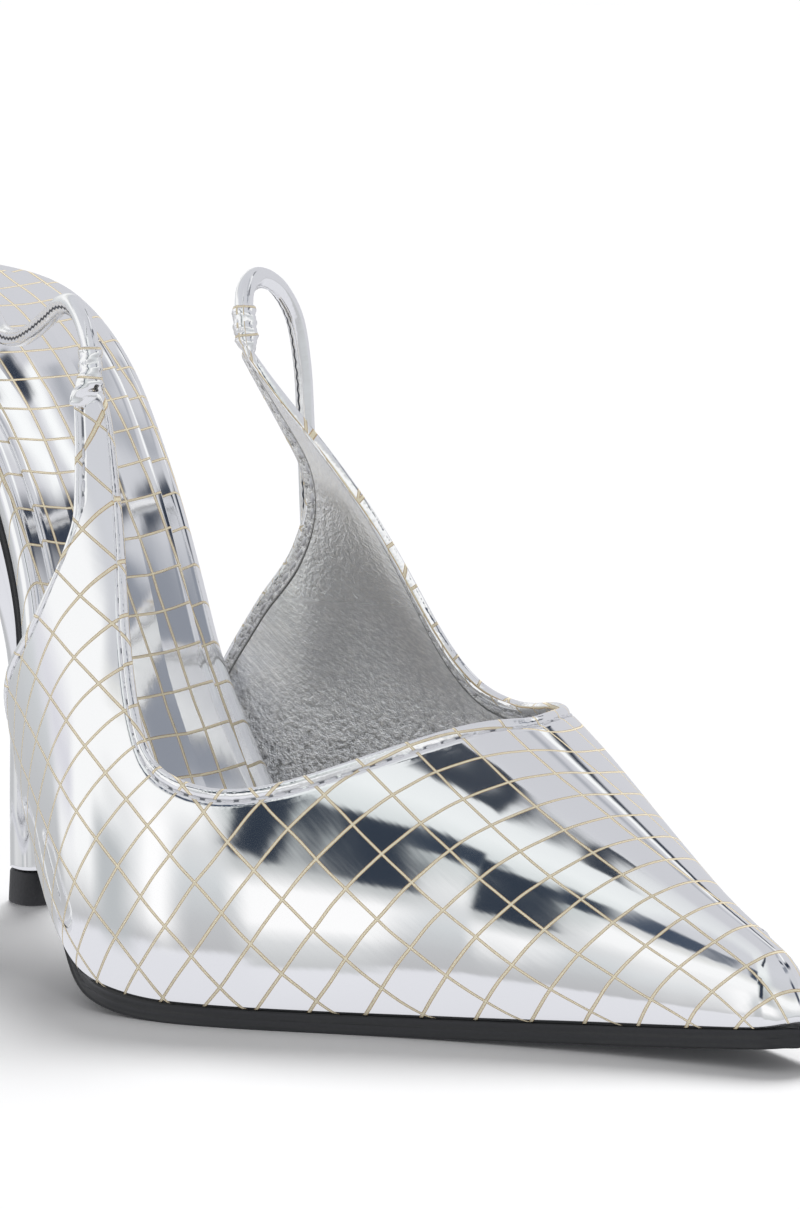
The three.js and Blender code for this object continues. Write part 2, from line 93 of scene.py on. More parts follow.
LAST_COLUMNS = ["along", "seat", "ball", "centre", "lift", "spring", "rise", "crest", "square"]
LAST_ROWS = [
    (0, 0.482, 0, 0, 1, 0, 1, 0, 2.4),
    (0.12, 0.5, 0, 0, 0.93, 0, 0.92, 0, 2.4),
    (0.216, 0.444, 0, 0.03, 0.796, 0, 0.86, 0, 2.4),
    (0.266, 0.21, 0.134, 0, 0.68, 0, 0.86, 0, 2.4),
    (0.323, 0.08, 0.222, -0.08, 0.502, 0, 0.91, 0, 2.4),
    (0.361, 0, 0.305, -0.2, 0.374, 0, 0.95, 0, 2.4),
    (0.431, 0, 0.36, -0.25, 0.174, 0, 1, 0.03, 2.4),
    (0.483, 0, 0.431, -0.18, 0.072, 0, 0.985, 0.05, 2.4),
    (0.539, 0, 0.505, -0.03, 0.015, 0, 0.9, 0.065, 2.35),
    (0.591, 0, 0.513, 0.14, 0, 0, 0.79, 0.09, 2.3),
    (0.647, 0, 0.472, 0.31, 0, 0, 0.685, 0.14, 2.25),
    (0.7, 0, 0.4, 0.465, 0, 0, 0.6, 0.195, 2.25),
    (0.754, 0, 0.319, 0.595, 0, 0.05, 0.515, 0.243, 2.25),
    (0.813, 0, 0.239, 0.709, 0, 0.175, 0.405, 0.285, 2.25),
    (0.862, 0, 0.174, 0.796, 0, 0.325, 0.312, 0.325, 2.25),
    (0.916, 0, 0.111, 0.874, 0, 0.525, 0.215, 0.362, 2.2),
    (0.957, 0, 0.069, 0.937, 0, 0.725, 0.148, 0.392, 2.2),
    (0.984, 0, 0.044, 0.981, 0, 0.875, 0.102, 0.41, 2.2),
    (1, 0, 0.034, 1, 0, 1, 0.067, 0.42, 2.2),
]

UPPER_COLUMNS = ["side", "foot", "foot_up", "top", "top_up"]
UPPER_ROWS = [
    (-1, 0.366, 0, 0.422, 0.575),
    (-1, 0.385, 0, 0.43, 0.64),
    (-1, 0.41, 0, 0.442, 0.668),
    (-1, 0.445, 0, 0.483, 0.606),
    (-1, 0.485, 0, 0.516, 0.545),
    (-1, 0.53, 0, 0.552, 0.425),
    (-1, 0.573, 0, 0.583, 0.325),
    (-1, 0.623, 0, 0.621, 0.333),
    (-1, 0.686, 0, 0.661, 0.39),
    (-1, 0.76, 0, 0.699, 0.509),
    (-1, 0.86, 0, 0.73, 0.67),
    (-1, 0.95, 0, 0.748, 0.83),
    (-1, 1, 0, 0.756, 0.94),
    (1, 1, 1, 0.758, 1),
    (1, 1, 0, 0.754, 0.92),
    (1, 0.95, 0, 0.745, 0.82),
    (1, 0.86, 0, 0.725, 0.69),
    (1, 0.76, 0, 0.685, 0.56),
    (1, 0.686, 0, 0.645, 0.46),
    (1, 0.623, 0, 0.608, 0.395),
    (1, 0.573, 0, 0.575, 0.372),
    (1, 0.53, 0, 0.549, 0.415),
    (1, 0.485, 0, 0.531, 0.53),
    (1, 0.445, 0, 0.508, 0.69),
    (1, 0.405, 0, 0.455, 0.785),
    (1, 0.38, 0, 0.436, 0.755),
    (1, 0.352, 0, 0.42, 0.66),
]

HOLLOW_COLUMNS = ["up", "forward"]
HOLLOW_ROWS = [(0, 0), (0.2, 0.02), (0.5, 0.05), (0.66, 0.056), (0.79, 0.052), (0.89, 0.032), (1, 0)]

HEEL_COLUMNS = ["rise", "back", "front", "width", "square"]
HEEL_ROWS = [
    (0, 0, 0, 0, 2.5),
    (0.15, -0.02, 0.12, 0.012, 2.4),
    (0.28, -0.05, 0.32, 0.03, 2.3),
    (0.43, -0.09, 0.85, 0.105, 2.2),
    (0.56, -0.02, 1.1, 0.217, 2.2),
    (0.65, 0.11, 1.15, 0.34, 2.2),
    (0.74, 0.32, 1.15, 0.5, 2.25),
    (0.86, 0.69, 1.12, 0.77, 2.3),
    (0.94, 0.9, 1.06, 0.94, 2.35),
    (1, 1, 1, 1, 2.4),
]

# %% [markdown]
# ## From the heel's axis to the frame
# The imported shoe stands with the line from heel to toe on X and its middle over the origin. One turn and
# one shift take a point of the last there. The turn follows from the toe's swing, and the shift from
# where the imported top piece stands.

# %% Place points in the frame
SWING = math.atan2(TOE_SWING, LAST_LENGTH)
TURN = Matrix.Rotation(-SWING, 3, "Z")
pin_low, pin_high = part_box("heel_top_piece")
SHIFT = (pin_low + pin_high) / 2 - TURN @ Vector((PIN_PLACE, 0, 0)) * MM
SHIFT.z = 0


def place(points):
    """Points of the heel's axis, in millimetres, as points of the frame, in metres."""
    return np.asarray(points, float) @ np.array(TURN).T * MM + np.array(SHIFT)


print("The heel's back stands at", [round(value, 4) for value in SHIFT])

# %% [markdown]
# ## The camera
# The photograph was taken with a long lens, a little above the shoe and from its outer front. The lens is
# given by how many picture lines one millimetre covers at the point that the camera aims at.

# %% Camera
AZIMUTH = math.radians(54.14)
ELEVATION = math.radians(8.885)
ROLL = math.radians(-0.663)
DISTANCE = 766.5
AIM = (155.8, 0, 69.6)
LINES_PER_MM = 6.113
PICTURE_LINES = 1209
SENSOR = 36

back = Vector((
    math.sin(AZIMUTH) * math.cos(ELEVATION), -math.cos(AZIMUTH) * math.cos(ELEVATION), math.sin(ELEVATION)
))
right = Vector((math.cos(AZIMUTH), math.sin(AZIMUTH), 0))
up = back.cross(right)
rolled_right = right * math.cos(ROLL) + up * math.sin(ROLL)
rolled_up = up * math.cos(ROLL) - right * math.sin(ROLL)
axes = [TURN @ axis for axis in (rolled_right, rolled_up, back)]
bpy.ops.object.camera_add()
camera = bpy.context.active_object
camera.name = "photo_camera"
camera.data.sensor_fit = "VERTICAL"
camera.data.sensor_height = SENSOR
camera.data.lens = SENSOR * LINES_PER_MM * DISTANCE / PICTURE_LINES
camera.data.clip_start = 0.01
camera.data.clip_end = 100
turned = Matrix(axes).transposed().to_4x4()
turned.translation = Vector(place(AIM)) + axes[2] * DISTANCE * MM
camera.matrix_world = turned
bpy.context.scene.camera = camera
print("Lens in mm:", round(camera.data.lens, 1))

# %% [markdown]
# ## The laces' routes
# Each lace is a rolled strip of the same leather. On the foot it is wound round the ankle. It is modelled
# 0.58 m long, which is the length of the route laid out here and not a reading of the real lace, which
# may be longer. The shoe stands empty, so each lace leaves the tip of its wing and lies down under its own
# weight: one across the seat and down behind it, the other beside the shoe. The points are listed, and a
# smooth curve runs through them.

# %% Routes of the laces
LACE_POINTS = {
    "lateral": [
        (95.6, -20.6, 103.2), (95.2, -20.4, 107.5), (92.6, -19.9, 112.2), (87.5, -18.6, 115.2),
        (80.5, -16.6, 115), (72, -14, 112.2), (62, -11.2, 108.8), (52, -8.4, 106.4), (41, -5.4, 106.6),
        (33, -3.2, 109.9), (25, -1.2, 113.3), (16, 0.6, 116.2), (8, 1.9, 118.8), (2.5, 2.8, 121),
        (-2, 3.4, 121.2), (-5.8, 3.9, 118.6), (-7.4, 4.2, 113), (-7.8, 4.4, 104), (-7.8, 4.6, 85),
        (-7.9, 4.7, 60), (-8.2, 4.8, 38), (-9.2, 4.6, 20), (-12.5, 3.6, 8.5), (-19, 0.6, 3.4),
        (-27, -5, 2.3), (-32.5, -14, 2.3), (-31, -26, 2.3), (-22, -34.5, 2.3), (-5, -38.5, 2.3),
        (20, -39.5, 2.3), (45, -39.5, 2.3), (63, -40.5, 2.3), (77, -46, 2.3), (82, -57, 2.3),
        (76, -68, 2.3), (61, -73, 2.3), (38, -73.5, 2.3), (12, -72.5, 2.3), (-8, -71, 2.3),
        (-17.5, -62.5, 2.3), (-9.5, -54.5, 2.3), (10, -54.5, 2.3), (32, -56, 2.3), (54, -57, 2.3),
    ],
    "medial": [
        (95.2, 10.9, 108.2), (94.6, 11.4, 112.4), (92.4, 13.4, 116.4), (89.6, 17.8, 118.2),
        (87.4, 23.4, 116), (86.4, 27.6, 110.4), (86.2, 29.4, 102), (86.2, 30, 90), (86.4, 30.4, 70),
        (86.8, 30.9, 50), (87.4, 31.6, 30), (88.8, 32.9, 15), (92.5, 36, 6.5), (98.5, 41, 3),
        (107, 47, 2.3), (118, 52.5, 2.3), (131, 57, 2.3), (145, 59.5, 2.3), (157, 63, 2.3),
        (161, 71, 2.3), (154.5, 78, 2.3), (140, 79, 2.3), (118, 76.5, 2.3), (90, 72.5, 2.3),
        (60, 69.5, 2.3), (30, 67.5, 2.3), (5, 65, 2.3), (-10, 59, 2.3), (-16, 48, 2.3),
        (-8, 37, 2.3), (10, 34.5, 2.3), (30, 34.5, 2.3), (52, 35, 2.3), (66, 37, 2.3),
        (73.5, 44.5, 2.3), (67, 52, 2.3), (50, 53.5, 2.3), (28, 52.5, 2.3), (10, 51, 2.3),
    ],
}


def smooth_route(points, spacing):
    """Evenly spaced points on a curve through the given ones, whose pull follows their distance."""
    given = np.array(points, float)
    given = np.vstack([2 * given[0] - given[1], given, 2 * given[-1] - given[-2]])
    knots = np.concatenate([[0], np.cumsum(np.linalg.norm(np.diff(given, axis=0), axis=1) ** 0.5)])
    pieces = []
    for i in range(1, len(given) - 2):
        t0, t1, t2, t3 = knots[i - 1:i + 3]
        p0, p1, p2, p3 = given[i - 1:i + 3]
        t = np.linspace(t1, t2, 40, endpoint=False)[:, None]
        a1 = (t1 - t) / (t1 - t0) * p0 + (t - t0) / (t1 - t0) * p1
        a2 = (t2 - t) / (t2 - t1) * p1 + (t - t1) / (t2 - t1) * p2
        a3 = (t3 - t) / (t3 - t2) * p2 + (t - t2) / (t3 - t2) * p3
        b1 = (t2 - t) / (t2 - t0) * a1 + (t - t0) / (t2 - t0) * a2
        b2 = (t3 - t) / (t3 - t1) * a2 + (t - t1) / (t3 - t1) * a3
        pieces.append((t2 - t) / (t2 - t1) * b1 + (t - t1) / (t2 - t1) * b2)
    fine = np.vstack([*pieces, given[-2]])
    run = np.concatenate([[0], np.cumsum(np.linalg.norm(np.diff(fine, axis=0), axis=1))])
    steps = np.linspace(0, run[-1], int(run[-1] / spacing) + 1)
    return np.stack([np.interp(steps, run, fine[:, k]) for k in range(3)], axis=1)


routes = {name: smooth_route(points, 1.0) for name, points in LACE_POINTS.items()}
for name, route in routes.items():
    print("Lace", name, "is", len(route) - 1, "mm long")

# %% [markdown]
# ## Helpers for sheets of leather
# A shoemaker shapes flat sheets. So does this script: it adds Blender's grid, whose corners lie in rows
# and columns, and moves each corner to its place on the last. Where the first and the last column meet,
# or a row shrinks to a point, the doubled corners are merged and the shape is closed.

# %% Sheet helpers
def column_of(columns, rows, key, name, soft=0.0):
    """A smooth curve through one column of a table. soft rounds its bends, as a share of the key."""
    places = np.array([row[columns.index(key)] for row in rows], float)
    values = np.array([row[columns.index(name)] for row in rows], float)
    widths = np.diff(places)
    rates = np.diff(values) / widths
    slopes = np.concatenate([rates[:1], np.zeros(len(places) - 2), rates[-1:]])
    for i in range(1, len(places) - 1):
        if rates[i - 1] * rates[i] > 0:
            weight = 2 * widths[i] + widths[i - 1]
            other = widths[i] + 2 * widths[i - 1]
            slopes[i] = (weight + other) / (weight / rates[i - 1] + other / rates[i])
    fine = np.linspace(places[0], places[-1], 2001)
    i = np.clip(np.searchsorted(places, fine, side="right") - 1, 0, len(places) - 2)
    t = (fine - places[i]) / widths[i]
    curve = values[i] * (1 + 2 * t) * (1 - t) ** 2 + values[i + 1] * t * t * (3 - 2 * t)
    curve += widths[i] * (slopes[i] * t * (1 - t) ** 2 + slopes[i + 1] * t * t * (t - 1))
    if soft:
        reach = int(4 * soft / (fine[1] - fine[0]))
        bell = np.exp(-0.5 * (np.arange(-reach, reach + 1) * (fine[1] - fine[0]) / soft) ** 2)
        before = 2 * curve[0] - curve[reach:0:-1]
        after = 2 * curve[-1] - curve[-2:-reach - 2:-1]
        curve = np.convolve(np.concatenate([before, curve, after]), bell / bell.sum(), "valid")
    return lambda at: np.interp(at, fine, curve)


def smoothstep(value, start, end):
    t = np.clip((value - start) / (end - start), 0, 1)
    return t * t * (3 - 2 * t)


def grid_piece(name, points):
    """A grid whose corners are moved to points: an array of rows, columns and three millimetres."""
    rows, columns = points.shape[:2]
    bpy.ops.object.select_all(action="DESELECT")
    bpy.ops.mesh.primitive_grid_add(x_subdivisions=columns - 1, y_subdivisions=rows - 1)
    piece = bpy.context.active_object
    piece.name = name
    piece.data.name = name
    piece.data.vertices.foreach_set("co", place(points).reshape(-1))
    piece.data.update()
    return piece


def lay_pattern(piece, flat):
    """Writes a flat place in metres for each corner of a grid into its UV map."""
    corners = np.zeros(len(piece.data.loops), int)
    piece.data.loops.foreach_get("vertex_index", corners)
    piece.data.uv_layers[0].data.foreach_set("uv", flat.reshape(-1, 2)[corners].reshape(-1))


def close_shell(piece, merge=0.00001):
    """Merges doubled corners, points all faces outwards and shades the piece smooth."""
    bpy.ops.object.select_all(action="DESELECT")
    piece.select_set(True)
    bpy.context.view_layer.objects.active = piece
    bpy.ops.object.mode_set(mode="EDIT")
    bpy.ops.mesh.select_all(action="SELECT")
    bpy.ops.mesh.remove_doubles(threshold=merge)
    bpy.ops.mesh.normals_make_consistent(inside=False)
    bpy.ops.object.mode_set(mode="OBJECT")
    bpy.ops.object.shade_smooth()


def hand_over(piece, slot, *nodes):
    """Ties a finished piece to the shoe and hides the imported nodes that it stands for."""
    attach(piece, "root")
    if nodes:
        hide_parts(*nodes)
    print(piece.name, "has", len(piece.data.polygons), "faces")


# %% [markdown]
# ## The last's surface
# The last gives every piece its shape: a half width, a height and a rounding for each place along it.
# The wall of a piece stands out from it by its thickness. The curves through the tables are softened a
# little, because a mirror shows every kink.

# %% Surface of the last
SOFT = 0.014
last = {name: column_of(LAST_COLUMNS, LAST_ROWS, "along", name, SOFT) for name in LAST_COLUMNS[1:]}


def round_end(distance, radius):
    t = np.clip(distance / radius, 0, 1)
    return np.sqrt(np.clip(1 - (1 - t) ** 2, 0, 1))


def half_width(x, extra):
    share = np.clip(x / LAST_LENGTH, 0, 1)
    width = last["seat"](share) * SEAT_WIDTH + last["ball"](share) * BALL_WIDTH + extra
    seat_end = round_end(x + extra, SEAT_RADIUS + extra)
    return width * seat_end * round_end(LAST_LENGTH + extra - x, TOE_RADIUS + extra)


def centre_line(x):
    return last["centre"](x / LAST_LENGTH) * TOE_SWING


def feather_height(x):
    share = x / LAST_LENGTH
    return SOLE_THICKNESS + FIT_GAP + last["lift"](share) * HEEL_HEIGHT + last["spring"](share) * TOE_SPRING


def profile_point(x, offset):
    """The long profile's x and z, moved out along its normal by offset."""
    step = 0.5
    slope = (feather_height(x + step) - feather_height(x - step)) / (2 * step)
    length = np.hypot(1, slope)
    return x - slope / length * offset, feather_height(x) + offset / length


def last_points(along, up, side, out):
    x = along * LAST_LENGTH + out * along ** 8
    half = half_width(x, out)
    full = half_width(np.minimum(x, LAST_LENGTH - TOE_RADIUS), out)
    toe_close = round_end(LAST_LENGTH + out - x, TOE_RADIUS + out)
    closing = np.where(x > LAST_LENGTH / 2, toe_close, 1)
    middle = centre_line(along * LAST_LENGTH)
    crest = middle + (last["crest"](along) * BALL_WIDTH - middle) * closing
    angle = up * math.pi / 2
    power = 2 / last["square"](along)
    across = np.cos(angle) ** power
    height = (last["rise"](along) * INSTEP_HEIGHT + out) * closing
    swell_shape = 3.5 * (1 - up) ** 2 * np.sqrt(up)
    swell = QUARTER_SWELL * swell_shape * np.minimum(full / 20, 1) * closing
    y = crest + (middle + side * half - crest) * across + side * swell
    z = feather_height(along * LAST_LENGTH) + height * np.sin(angle) ** power
    return np.stack([x, y, z], axis=-1)


print("Ball half width in mm:", round(float(half_width(0.58 * LAST_LENGTH, 0)), 1))

# %% [markdown]
# ## The upper
# The upper is leather outside and lining inside, glued back to back. At the topline the leather is
# turned over the edge and stitched down, which leaves a soft roll with a row of stitches below it. One
# sheet is led up the outside, over the edge and down the inside, so that the fold is closed and round.
# Its columns are strips that run from the sole to the topline, as in the table.

# %% Strips of the upper
STRIPS = 280
BODY_STEPS = 42
EDGE_RADIUS = 0.8
STITCH_INSET = 2.2
EDGE_LEVELS = np.array([0, 0.08, 0.25, 0.5, 0.8, 1.1, 1.4, 1.7, 1.95, 2.2, 2.5, 2.9, 3.5, 4.3, 5.3])
END_STRIPS = np.array([0, 0.0008, 0.002, 0.004, 0.0065, 0.0095])

strip_columns = ["strip", "foot", "foot_across", "top", "top_across"]
strip_rows = [
    (i / (len(UPPER_ROWS) - 1), foot, side * (1 - foot_up), top, side * (1 - top_up))
    for i, (side, foot, foot_up, top, top_up) in enumerate(UPPER_ROWS)
]
edge_line = {
    name: column_of(strip_columns, strip_rows, "strip", name, SOFT) for name in strip_columns[1:]
}
hollow = column_of(HOLLOW_COLUMNS, HOLLOW_ROWS, "up", "forward", SOFT)


def wall_points(strip, climb, out):
    """Points of the upper's wall: strip runs round the shoe, climb from the sole to the topline."""
    wing_share = 1 - smoothstep(np.minimum(strip, 1 - strip), 0, HOLLOW_REACH)
    foot, top = edge_line["foot"](strip), edge_line["top"](strip)
    foot_across, top_across = edge_line["foot_across"](strip), edge_line["top_across"](strip)
    along = foot + (top - foot) * climb + hollow(climb) * wing_share
    across = foot_across + (top_across - foot_across) * climb
    up = np.clip(1 - np.abs(across), 0, 1)
    return last_points(np.clip(along, 0, 1), up, np.where(across < 0, -1, 1), out)


def climbs_at(strips):
    """How far up each strip its levels lie, and how far in millimetres they are from the topline."""
    fine = np.linspace(0, 1, 241)
    lines = wall_points(strips[:, None], fine[None, :], UPPER_WALL)
    climbs, distances = [], []
    for line in lines:
        run = np.concatenate([[0], np.cumsum(np.linalg.norm(np.diff(line, axis=0), axis=1))])
        body = np.linspace(EDGE_LEVELS[-1], run[-1], BODY_STEPS + 1)[1:]
        from_top = np.concatenate([EDGE_LEVELS, body])
        climbs.append(np.interp(run[-1] - from_top, run, fine))
        distances.append(from_top)
    return np.array(climbs).T, np.array(distances).T


strips = np.concatenate([END_STRIPS, np.linspace(0.013, 0.987, STRIPS), 1 - END_STRIPS[::-1]])
climbs, from_top = climbs_at(strips)
inner_skin = wall_points(strips[None, :], climbs, 0)
outer_skin = wall_points(strips[None, :], climbs, UPPER_WALL)
steps_round = np.linalg.norm(np.diff(outer_skin, axis=1), axis=2)
round_run = np.concatenate([np.zeros((len(climbs), 1)), np.cumsum(steps_round, axis=1)], axis=1)
from_rear = np.minimum(round_run, round_run[:, -1:] - round_run)
from_edge = np.minimum(from_top, from_rear)
print("Topline in mm:", round(float(round_run[0, -1])), "and rear edges", round(float(from_top[-1, 0])))

# %% [markdown]
# The sheet's thickness falls to nothing at the fold in a quarter circle, so both sides meet in a round
# edge. A low swell between the edge and the stitches, and a trough under the stitches, make the roll.

# %% The upper's sheet
FOLD_SWELL = 0.24
STITCH_TROUGH = 0.3
STITCH_SPREAD = 0.42

through = outer_skin - inner_skin
half_wall = UPPER_WALL / 2
thick = half_wall * round_end(from_edge, EDGE_RADIUS)
swell = FOLD_SWELL * np.sin(math.pi * np.clip(from_edge / (STITCH_INSET - 0.2), 0, 1))
trough = STITCH_TROUGH * np.exp(-(((from_edge - STITCH_INSET) / STITCH_SPREAD) ** 2))
outer_share = (half_wall + thick + swell - trough) / UPPER_WALL
inner_share = (half_wall - thick - 0.5 * swell + 0.6 * trough) / UPPER_WALL
outside = inner_skin + through * outer_share[..., None]
inside = inner_skin + through * inner_share[..., None]
foot_line = (inner_skin[-1:] + outer_skin[-1:]) / 2
sheet = np.concatenate([foot_line, outside[::-1], inside[1:], foot_line])
upper = grid_piece("upper_leather", sheet)

level_count = len(climbs)
levels = np.concatenate([[level_count - 1], np.arange(level_count)[::-1], np.arange(1, level_count), [-1]])
edge_values = from_edge[levels]
strip_values = np.broadcast_to(strips, edge_values.shape)
for name, values in (("edge", edge_values), ("strip", strip_values)):
    attribute = upper.data.attributes.new(name, "FLOAT", "POINT")
    attribute.data.foreach_set("value", np.ascontiguousarray(values, dtype=np.float32).reshape(-1))

FOLDED_IN = 1.0
LINING_SLOT = 1
face_rows = np.repeat(np.arange(len(sheet) - 1), len(strips) - 1)
face_edge = (edge_values[:-1, :-1] + edge_values[1:, 1:]).reshape(-1) / 2
is_inside = (face_rows > level_count) & (face_edge > FOLDED_IN)
slots = np.where(is_inside, LINING_SLOT, 0)
upper.data.materials.append(None)
upper.data.materials.append(None)
upper.data.polygons.foreach_set("material_index", slots.astype(np.int32))
turned_in = face_rows > level_count
attribute = upper.data.attributes.new("turned_in", "FLOAT", "FACE")
attribute.data.foreach_set("value", turned_in.astype(np.float32))
lay_pattern(upper, np.stack([round_run[levels], from_top[levels]], -1) * MM)
close_shell(upper)

# %% [markdown]
# ## The cut pattern
# The grid was cut into the flat leather before it was pulled over the last. Blender's unwrap finds
# that flat shape again with the least stretch. It is turned so that the vamp's middle line, from the
# throat to the toe, lies on U. The last is rounder than the unwrap allows for and pulls the real grid
# askew, the more the further down the side, so two short polynomials add that pull. They count tiles:
# one the lines that follow the vamp's middle line, the other the lines that cross it.

# %% Unwrap the leather
TILE_LENGTH = 0.0065
TILE_WIDTH = 0.0086
PULL = 0.1
HELD_FROM = -1.1
CALM = 0.15
LINES_ALONG = {
    (0, 0): 1.4, (0, 1): -17.47, (0, 2): -1.87, (0, 3): 1.53, (0, 4): -0.16, (1, 0): 0.55,
    (1, 1): -4.57, (1, 2): 2.91, (1, 3): 0.93, (2, 0): -2.2, (2, 1): 2.46, (2, 2): 0.72,
    (3, 0): 0.31, (3, 1): 0.41, (4, 0): 1.21,
}
LINES_ACROSS = {
    (0, 0): 11.81, (0, 1): -3.52, (0, 2): -21.05, (0, 3): -0.81, (0, 4): 1.63, (1, 0): 15.31,
    (1, 1): 7.72, (1, 2): -4.43, (1, 3): 0.11, (2, 0): -2.63, (2, 1): -2.73, (2, 2): 0.39,
    (3, 0): 0.08, (3, 1): -0.72, (4, 0): -0.22,
}


def unwrap_part(piece, chosen):
    """Unwraps the chosen faces and leaves the others as they are."""
    bpy.ops.object.select_all(action="DESELECT")
    piece.select_set(True)
    bpy.context.view_layer.objects.active = piece
    bpy.ops.object.mode_set(mode="EDIT")
    bpy.ops.mesh.select_mode(type="FACE")
    bpy.ops.mesh.select_all(action="DESELECT")
    bpy.ops.object.mode_set(mode="OBJECT")
    piece.data.polygons.foreach_set("select", chosen)
    bpy.ops.object.mode_set(mode="EDIT")
    bpy.ops.uv.unwrap(method="MINIMUM_STRETCH", margin=0, iterations=24)
    bpy.ops.object.mode_set(mode="OBJECT")


def lines_at(table, u, v):
    """A polynomial in the flat place, carried on straight past the part that it was made for."""
    held = np.maximum(u, HELD_FROM)
    count = sum(k * held**i * v**j for (i, j), k in table.items())
    growth = sum(k * i * held ** (i - 1) * v**j for (i, j), k in table.items() if i)
    return count + growth * (u - held)


def tile_places(flat):
    """The inner side mirrors the outer one, and its lines cross the middle line without a bend."""
    u, v = flat[:, 0] / PULL, flat[:, 1] / PULL
    beyond = np.maximum(v, 0)
    along = lines_at(LINES_ALONG, u, -np.abs(v))
    along = np.where(v > 0, 2 * lines_at(LINES_ALONG, u, 0 * v) - along, along)
    across = lines_at(LINES_ACROSS, u, -np.abs(v))
    lean = (lines_at(LINES_ACROSS, u, 0 * v) - lines_at(LINES_ACROSS, u, 0 * v - 0.01)) / 0.01
    across = across + 2 * lean * beyond * np.exp(-beyond / CALM)
    return np.stack([across * TILE_LENGTH, along * TILE_WIDTH], 1)


def real_size(piece, chosen):
    """Turns the chosen faces' flat shape so that the middle line lies on U, in metres from the toe."""
    mesh = piece.data
    loop_vertex = np.zeros(len(mesh.loops), int)
    mesh.loops.foreach_get("vertex_index", loop_vertex)
    flat = np.zeros(len(mesh.loops) * 2, np.float32)
    mesh.uv_layers[0].data.foreach_get("uv", flat)
    flat = flat.reshape(-1, 2).astype(float)
    places = np.array([vertex.co for vertex in mesh.vertices])
    strip_of = np.zeros(len(mesh.vertices), np.float32)
    mesh.attributes["strip"].data.foreach_get("value", strip_of)
    starts = np.zeros(len(mesh.polygons), int)
    mesh.polygons.foreach_get("loop_start", starts)
    totals = np.zeros(len(mesh.polygons), int)
    mesh.polygons.foreach_get("loop_total", totals)
    taken = chosen[np.repeat(np.arange(len(starts)), totals)]
    first = starts[chosen & (totals == 4)]
    diagonal = places[loop_vertex[first]] - places[loop_vertex[first + 2]]
    flat_diagonal = flat[first] - flat[first + 2]
    scale = np.linalg.norm(diagonal, axis=1).sum() / np.linalg.norm(flat_diagonal, axis=1).sum()
    middle = taken & (np.abs(strip_of[loop_vertex] - 0.5) < 0.004)
    line = flat[middle] * scale
    along = places[loop_vertex[middle]][:, 0]
    toe = line[along.argmax()]
    heading = toe - line[along.argmin()]
    heading /= np.linalg.norm(heading)
    part = flat[taken] * scale - toe
    turned = np.stack([part @ heading, part @ np.array([-heading[1], heading[0]])], 1)
    lateral = strip_of[loop_vertex[taken]] < 0.3
    if turned[lateral, 1].mean() > 0:
        turned[:, 1] *= -1
    flat[taken] = tile_places(turned)
    mesh.uv_layers[0].data.foreach_set("uv", flat.reshape(-1).astype(np.float32))
    return turned


face_inside = np.zeros(len(upper.data.polygons), np.float32)
upper.data.attributes["turned_in"].data.foreach_get("value", face_inside)
unwrap_part(upper, face_inside < 0.5)
cut_shape = real_size(upper, face_inside < 0.5)
print("Cut shape in mm:", [round(float(value) * 1000) for value in np.ptp(cut_shape, axis=0)])
hand_over(upper, "mirror_leather", "upper")

# %% [markdown]
# ## Stitches
# A row of silver thread holds the turned edge down, a little over two millimetres in. One stitch is
# modelled from a small sphere, drawn out along the seam, and copied along the row. A copy every
# three millimetres gives about a hundred and fifty stitches, so each has only a few dozen faces.

# %% Stitch rows
STITCH_PITCH = 2.9
STITCH_LENGTH = 2.2
STITCH_WIDTH = 0.72


def stitch_shape():
    bpy.ops.object.select_all(action="DESELECT")
    bpy.ops.mesh.primitive_uv_sphere_add(segments=8, ring_count=6, radius=0.5)
    stitch = bpy.context.active_object
    corners = np.array([vertex.co for vertex in stitch.data.vertices])
    faces = [list(face.vertices) for face in stitch.data.polygons]
    bpy.data.objects.remove(stitch)
    corners = corners[:, [2, 0, 1]]
    corners[:, 0] = np.sign(corners[:, 0]) * np.abs(2 * corners[:, 0]) ** 0.7 / 2
    return corners * [STITCH_LENGTH, STITCH_WIDTH, STITCH_WIDTH * 0.8], faces


def stitch_row(line, normals):
    """Corners and faces of stitches laid along a line on a surface."""
    shape, faces = stitch_shape()
    run = np.concatenate([[0], np.cumsum(np.linalg.norm(np.diff(line, axis=0), axis=1))])
    count = int(run[-1] / STITCH_PITCH)
    all_corners, all_faces = [], []
    for k in range(count):
        at = (k + 0.5) * run[-1] / count
        here = np.array([np.interp(at, run, line[:, a]) for a in range(3)])
        ahead = np.array([np.interp(at + 0.6, run, line[:, a]) for a in range(3)])
        behind = np.array([np.interp(at - 0.6, run, line[:, a]) for a in range(3)])
        outward = np.array([np.interp(at, run, normals[:, a]) for a in range(3)])
        along = (ahead - behind) / np.linalg.norm(ahead - behind)
        outward -= along * (outward @ along)
        outward /= np.linalg.norm(outward)
        aside = np.cross(outward, along)
        corners = here + shape @ np.array([along, aside, outward])
        all_faces += [[corner + len(shape) * k for corner in face] for face in faces]
        all_corners.append(corners)
    return np.vstack(all_corners), all_faces


def rear_line(skin, normals, at_end):
    """The line that lies STITCH_INSET in from a wing's rear edge."""
    runs = round_run[:, -1:] - round_run if at_end else round_run
    rows = []
    for i in range(level_count):
        if from_top[i, 0] < 9:
            continue
        order = np.argsort(runs[i])
        at = [np.interp(STITCH_INSET, runs[i][order], skin[i][order][:, a]) for a in range(3)]
        out = [np.interp(STITCH_INSET, runs[i][order], normals[i][order][:, a]) for a in range(3)]
        rows.append((at, out))
    points, outs = zip(*rows)
    return np.array(points), np.array(outs)


